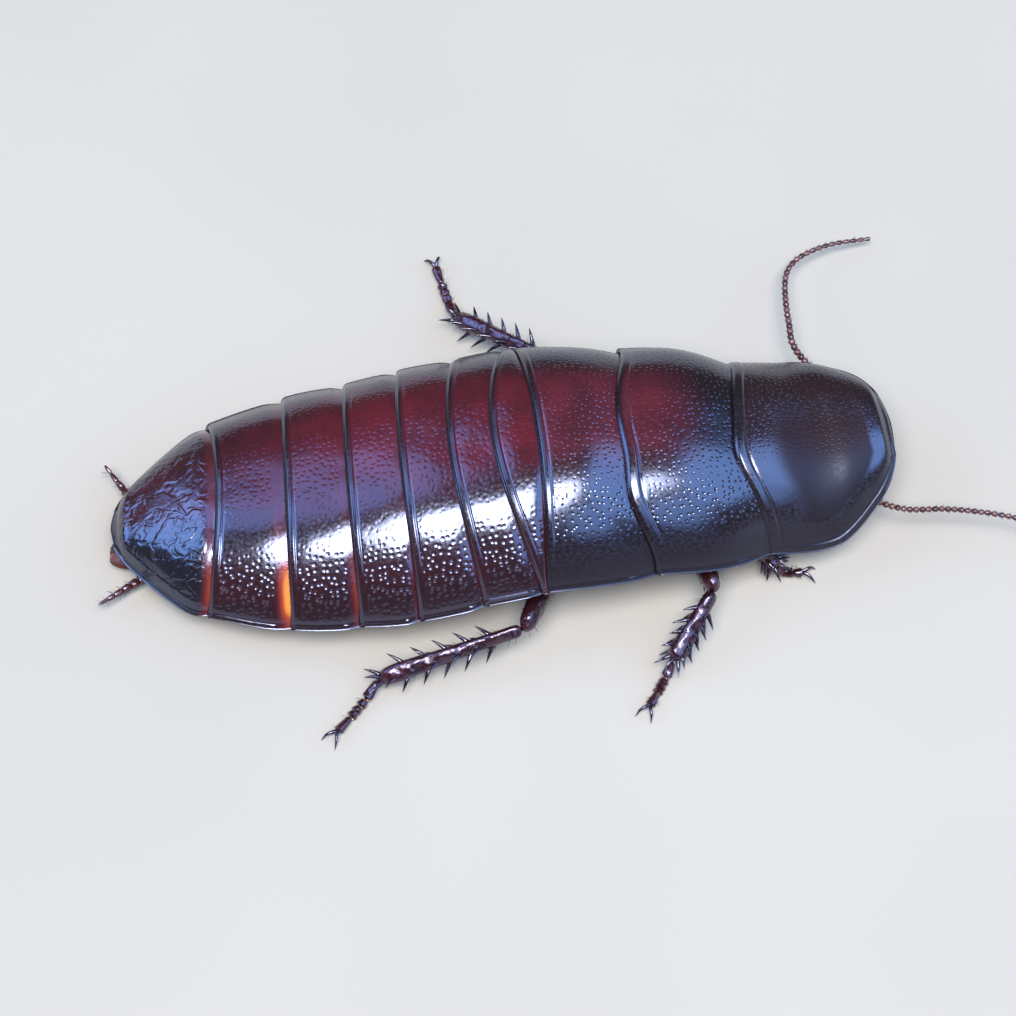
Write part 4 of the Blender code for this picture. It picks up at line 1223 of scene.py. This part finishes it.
# How much rougher a dull place is, how much of its reflection it keeps, and the mark at which it does.
DULL_ROUGHNESS = 0.13
DULL_SHARE = 0.26
DULLEST = 1.6
# Plates: dark and red colour, roughness, strength of reflection, and the pits' spacing, width as a share of
# that, depth and dullness. The plate without pits is wrinkled.
CUTICLES = {
    "abdomen_cuticle": ((0.006, 0.003, 0.004), (0.048, 0.005, 0.008), 0.19, 0.8, (0.215, 0.42, 0.0055, 0.05)),
    "tail_cuticle": ((0.005, 0.004, 0.006), (0.042, 0.006, 0.008), 0.20, 0.8, None),
    "thorax_cuticle": ((0.005, 0.0025, 0.003), (0.046, 0.006, 0.010), 0.22, 0.8, (0.21, 0.30, 0.010, 0.0)),
    "hood_cuticle": ((0.006, 0.0035, 0.0035), (0.035, 0.007, 0.006), 0.24, 0.8, (0.19, 0.30, 0.010, 0.0)),
    "belly_cuticle": ((0.032, 0.009, 0.006), (0.115, 0.025, 0.012), 0.25, 0.6, (0.24, 0.25, 0.008, 0.0)),
}
# Limbs: dark, red and pale colour, roughness and strength of reflection.
LIMBS = {
    "membrane": ((0.036, 0.012, 0.006), (0.085, 0.022, 0.010), (0.22, 0.070, 0.020), 0.4, 0.3),
    "limb_cuticle": ((0.005, 0.002, 0.0035), (0.026, 0.004, 0.006), (0.21, 0.085, 0.035), 0.2, 0.7),
    "antenna_cuticle": ((0.014, 0.006, 0.006), (0.050, 0.018, 0.014), (0.14, 0.06, 0.04), 0.3, 0.5),
    "claw_cuticle": ((0.007, 0.003, 0.003), (0.035, 0.009, 0.006), (0.14, 0.04, 0.02), 0.2, 0.7),
}
EYE_COLOURS = ((0.012, 0.010, 0.012), (0.003, 0.002, 0.003))
EYE_FACET_DEPTH = 0.012
EYE_ROUGHNESS = 0.16
FLOOR_COLOURS = ((0.208, 0.198, 0.186), (0.220, 0.210, 0.198))
FLOOR_ROUGHNESS = 0.9
# Numbers of the mix node's sockets for colours; its sockets for numbers have the same names.
MIX_FIRST, MIX_SECOND, MIX_RESULT = 6, 7, 2


def fill(node, inputs):
    """Puts numbers, colours or the outputs of other nodes into the sockets of a node."""
    for socket, value in inputs.items():
        if isinstance(value, bpy.types.NodeSocket):
            node.id_data.links.new(value, node.inputs[socket])
        else:
            node.inputs[socket].default_value = (*value, 1.0) if isinstance(value, tuple) else value


def new_node(tree, kind, inputs=None, **settings):
    node = tree.nodes.new(kind)
    for key, value in settings.items():
        setattr(node, key, value)
    fill(node, inputs or {})
    return node


def map_range(tree, value, low, high, out_low=0.0, out_high=1.0):
    inputs = {"Value": value, "From Min": low, "From Max": high, "To Min": out_low, "To Max": out_high}
    return new_node(tree, "ShaderNodeMapRange", inputs, interpolation_type="SMOOTHSTEP").outputs["Result"]


def math_node(tree, operation, first, second):
    return new_node(tree, "ShaderNodeMath", {0: first, 1: second}, operation=operation).outputs["Value"]


def mix_colour(tree, factor, first, second):
    inputs = {"Factor": factor, MIX_FIRST: first, MIX_SECOND: second}
    return new_node(tree, "ShaderNodeMix", inputs, data_type="RGBA").outputs[MIX_RESULT]


def texture(tree, kind, scale, on_plan, **values):
    """A procedural texture in millimetres, on the plan attribute or on the object itself."""
    if on_plan:
        place = new_node(tree, "ShaderNodeAttribute", attribute_name="plan").outputs["Vector"]
    else:
        place = new_node(tree, "ShaderNodeTexCoord").outputs["Object"]
        scale = scale / MM
    return new_node(tree, kind, {"Vector": place, "Scale": scale, **values})


def tone_marks(tree):
    """The colour marks of the mesh: the first three apart, and the fourth."""
    tone = new_node(tree, "ShaderNodeAttribute", attribute_name="tone")
    split = new_node(tree, "ShaderNodeSeparateColor", {"Color": tone.outputs["Color"]})
    return split.outputs, tone.outputs["Alpha"]


def bump(tree, height, distance=MM, **settings):
    inputs = {"Height": height, "Distance": distance}
    return new_node(tree, "ShaderNodeBump", inputs, **settings).outputs["Normal"]


def start_material(name):
    material = bpy.data.materials.new(name)
    material.use_nodes = True
    return material, material.node_tree, material.node_tree.nodes["Principled BSDF"]


def cuticle(name, dark, red, roughness, specular, pits):
    """Glossy cuticle with pits or wrinkles where the tone mark asks for them, and fine leathery relief."""
    material, tree, shader = start_material(name)
    marks, dull = tone_marks(tree)
    blotch = texture(tree, "ShaderNodeTexNoise", 0.9, True, Detail=4)
    uneven = map_range(tree, blotch.outputs["Fac"], 0.3, 0.7, 0.55, 1.0)
    colour = mix_colour(tree, math_node(tree, "MULTIPLY", marks["Red"], uneven), dark, red)
    # The blue mark paints the glow of light shining through the thin strips into the colour, dim then bright
    # orange.
    colour = mix_colour(tree, map_range(tree, marks["Blue"], 0.0, 0.5), colour, PAINTED_GLOW_DIM)
    colour = mix_colour(tree, map_range(tree, marks["Blue"], 0.4, 1.0), colour, PAINTED_GLOW_BRIGHT)
    grain = texture(tree, "ShaderNodeTexNoise", 9.0, True, Detail=5).outputs["Fac"]
    gloss = map_range(tree, grain, 0.3, 0.7, roughness * 0.75, roughness * 1.35)
    gloss = math_node(tree, "ADD", gloss, math_node(tree, "MULTIPLY", dull, DULL_ROUGHNESS))
    height = math_node(tree, "MULTIPLY", grain, GRAIN_DEPTH)
    if pits:
        pitch, share, depth, dullness = pits
        cells = texture(tree, "ShaderNodeTexVoronoi", 1 / pitch, True, Randomness=0.75)
        cells.voronoi_dimensions = "2D"
        bowl = map_range(tree, cells.outputs["Distance"], 0.0, share, -1.0, 0.0)
        pit = math_node(tree, "MULTIPLY", bowl, marks["Green"])
        height = math_node(tree, "ADD", height, math_node(tree, "MULTIPLY", pit, depth))
        gloss = math_node(tree, "SUBTRACT", gloss, math_node(tree, "MULTIPLY", pit, dullness))
    else:
        fold = texture(tree, "ShaderNodeTexNoise", 2.3, True, Detail=2, Distortion=0.9)
        deep = map_range(tree, fold.outputs["Fac"], 0.38, 0.60, 0.0, WRINKLE_DEPTH)
        height = math_node(tree, "ADD", height, math_node(tree, "MULTIPLY", deep, marks["Green"]))
    strength = map_range(tree, dull, 0.0, DULLEST, specular, specular * DULL_SHARE)
    fill(shader, {"Base Color": colour, "Roughness": gloss, "Normal": bump(tree, height)})
    fill(shader, {"IOR": CUTICLE_IOR, "Specular IOR Level": strength, "Specular Tint": SHEEN})
    return material


def limb_material(name, dark, red, pale, roughness, specular):
    """Glossy dark red-brown cuticle of legs and feelers, darker in blotches."""
    material, tree, shader = start_material(name)
    marks, _dull = tone_marks(tree)
    blotch = texture(tree, "ShaderNodeTexNoise", 1.4, False, Detail=4)
    uneven = map_range(tree, blotch.outputs["Fac"], 0.3, 0.7, 0.4, 1.3)
    colour = mix_colour(tree, math_node(tree, "MULTIPLY", marks["Red"], uneven), dark, red)
    colour = mix_colour(tree, marks["Blue"], colour, pale)
    grain = texture(tree, "ShaderNodeTexNoise", 14.0, False, Detail=5).outputs["Fac"]
    gloss = map_range(tree, grain, 0.3, 0.7, roughness * 0.7, roughness * 1.4)
    lump = texture(tree, "ShaderNodeTexNoise", 1.9, False, Detail=1)
    height = math_node(tree, "MULTIPLY", lump.outputs["Fac"], LIMB_LUMPS)
    height = math_node(tree, "ADD", height, math_node(tree, "MULTIPLY", grain, LIMB_GRAIN_DEPTH))
    fill(shader, {"Base Color": colour, "Roughness": gloss, "Normal": bump(tree, height)})
    fill(shader, {"IOR": LIMB_IOR, "Specular IOR Level": specular, "Specular Tint": LIMB_SHEEN})
    return material


def eye_material(name):
    """A black eye with six-sided facets."""
    material, tree, shader = start_material(name)
    cells = texture(tree, "ShaderNodeTexVoronoi", 16.0, False, Randomness=0.12).outputs["Distance"]
    colour = mix_colour(tree, map_range(tree, cells, 0.2, 0.6), *EYE_COLOURS)
    facets = bump(tree, cells, EYE_FACET_DEPTH * MM, invert=True)
    fill(shader, {"Base Color": colour, "Roughness": EYE_ROUGHNESS, "Normal": facets})
    return material


def floor_material():
    material, tree, shader = start_material("pale_floor")
    grain = texture(tree, "ShaderNodeTexNoise", 0.05, False).outputs["Fac"]
    colour = mix_colour(tree, map_range(tree, grain, 0.3, 0.7), *FLOOR_COLOURS)
    fill(shader, {"Base Color": colour, "Roughness": FLOOR_ROUGHNESS})
    return material


def make_materials():
    materials = {name: cuticle(name, *values) for name, values in CUTICLES.items()}
    materials.update({name: limb_material(name, *values) for name, values in LIMBS.items()})
    materials["compound_eye"] = eye_material("compound_eye")
    return materials


# Floor, light and camera

# Distance of the lights and half side of the floor, in metres.
LIGHT_DISTANCE = 0.5
FLOOR_SIDE = 3.0
SUN = (1.0, 0.97, 0.93)
SKY = (0.36, 0.62, 1.0)
# Elevation, azimuth, size, power and colour; azimuth 0 is on the -Y side.
LIGHTS = {
    "key": (65, -17, (0.28, 0.24), 6.3, SUN),
    "tail_sky": (37, -103, (0.42, 0.26), 1.75, (0.38, 0.61, 1.0)),
    "key_head": (71, 30, (0.22, 0.18), 1.9, SUN),
    "high_sky": (60, -130, (0.26, 0.24), 0.44, (0.40, 0.58, 1.0)),
    "near_sky": (35, 30, (0.28, 0.26), 0.65, SKY),
    "head_sky": (40, 84, (0.54, 0.44), 2.7, SKY),
}
ROOM_COLOUR = (0.80, 0.80, 0.82)
ROOM_STRENGTH = 0.10


def direction(elevation, azimuth):
    elevation, azimuth = math.radians(elevation), math.radians(azimuth)
    level = math.cos(elevation)
    return Vector((math.sin(azimuth) * level, -math.cos(azimuth) * level, math.sin(elevation)))


def add_light(name, elevation, azimuth, size, power, colour):
    """An oval soft light that faces the animal."""
    light = bpy.data.lights.new(name, "AREA")
    light.shape = "ELLIPSE"
    light.size, light.size_y = size
    light.energy = power
    light.color = colour
    obj = bpy.data.objects.new(name, light)
    obj.location = direction(elevation, azimuth) * LIGHT_DISTANCE
    obj.rotation_euler = (-obj.location).to_track_quat("-Z", "Y").to_euler()
    bpy.context.scene.collection.objects.link(obj)


def make_stage():
    corners = [(x * FLOOR_SIDE, y * FLOOR_SIDE, 0) for x, y in ((-1, -1), (1, -1), (1, 1), (-1, 1))]
    mesh = bpy.data.meshes.new("floor")
    mesh.from_pydata(corners, [], [(0, 1, 2, 3)])
    mesh.materials.append(floor_material())
    floor = bpy.data.objects.new("floor", mesh)
    bpy.context.scene.collection.objects.link(floor)
    for name, values in LIGHTS.items():
        add_light(name, *values)
    world = bpy.data.worlds.new("studio")
    world.use_nodes = True
    fill(world.node_tree.nodes["Background"], {"Color": ROOM_COLOUR, "Strength": ROOM_STRENGTH})
    bpy.context.scene.world = world
    bpy.context.scene.view_settings.view_transform = "Standard"


def make_camera():
    back = direction(CAMERA_ELEVATION, CAMERA_AZIMUTH)
    camera = bpy.data.cameras.new("camera")
    camera.lens = LENS
    camera.sensor_width = SENSOR
    camera.sensor_fit = "HORIZONTAL"
    camera.clip_start, camera.clip_end = CLIP_RANGE
    obj = bpy.data.objects.new("camera", camera)
    obj.location = SHIFT + (CAMERA_TARGET + back * CAMERA_DISTANCE) * MM
    obj.rotation_euler = (-back).to_track_quat("-Z", "Y").to_euler()
    bpy.context.scene.collection.objects.link(obj)
    bpy.context.scene.camera = obj


def frame_shift():
    """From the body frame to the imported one, read off the left eye, whose box is centred on it."""
    low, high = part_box("eye_left")
    return (low + high) / 2 - eye_matrix(1).translation * MM


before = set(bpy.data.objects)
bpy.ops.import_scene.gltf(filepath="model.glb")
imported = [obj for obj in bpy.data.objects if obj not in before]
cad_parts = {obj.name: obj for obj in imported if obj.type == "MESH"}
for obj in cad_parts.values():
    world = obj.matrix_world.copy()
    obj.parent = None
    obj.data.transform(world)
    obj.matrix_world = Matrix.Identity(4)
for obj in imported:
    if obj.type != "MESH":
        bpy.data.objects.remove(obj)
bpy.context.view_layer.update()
SHIFT = frame_shift()
LOOKS = make_materials()
make_back()
make_core()
make_sternites()
make_subgenital()
make_sterna()
make_head()
for feeler in ANTENNAE:
    make_antenna(feeler)
    make_cercus(feeler)
for leg in LEGS:
    make_leg(leg)
make_stage()
make_camera()
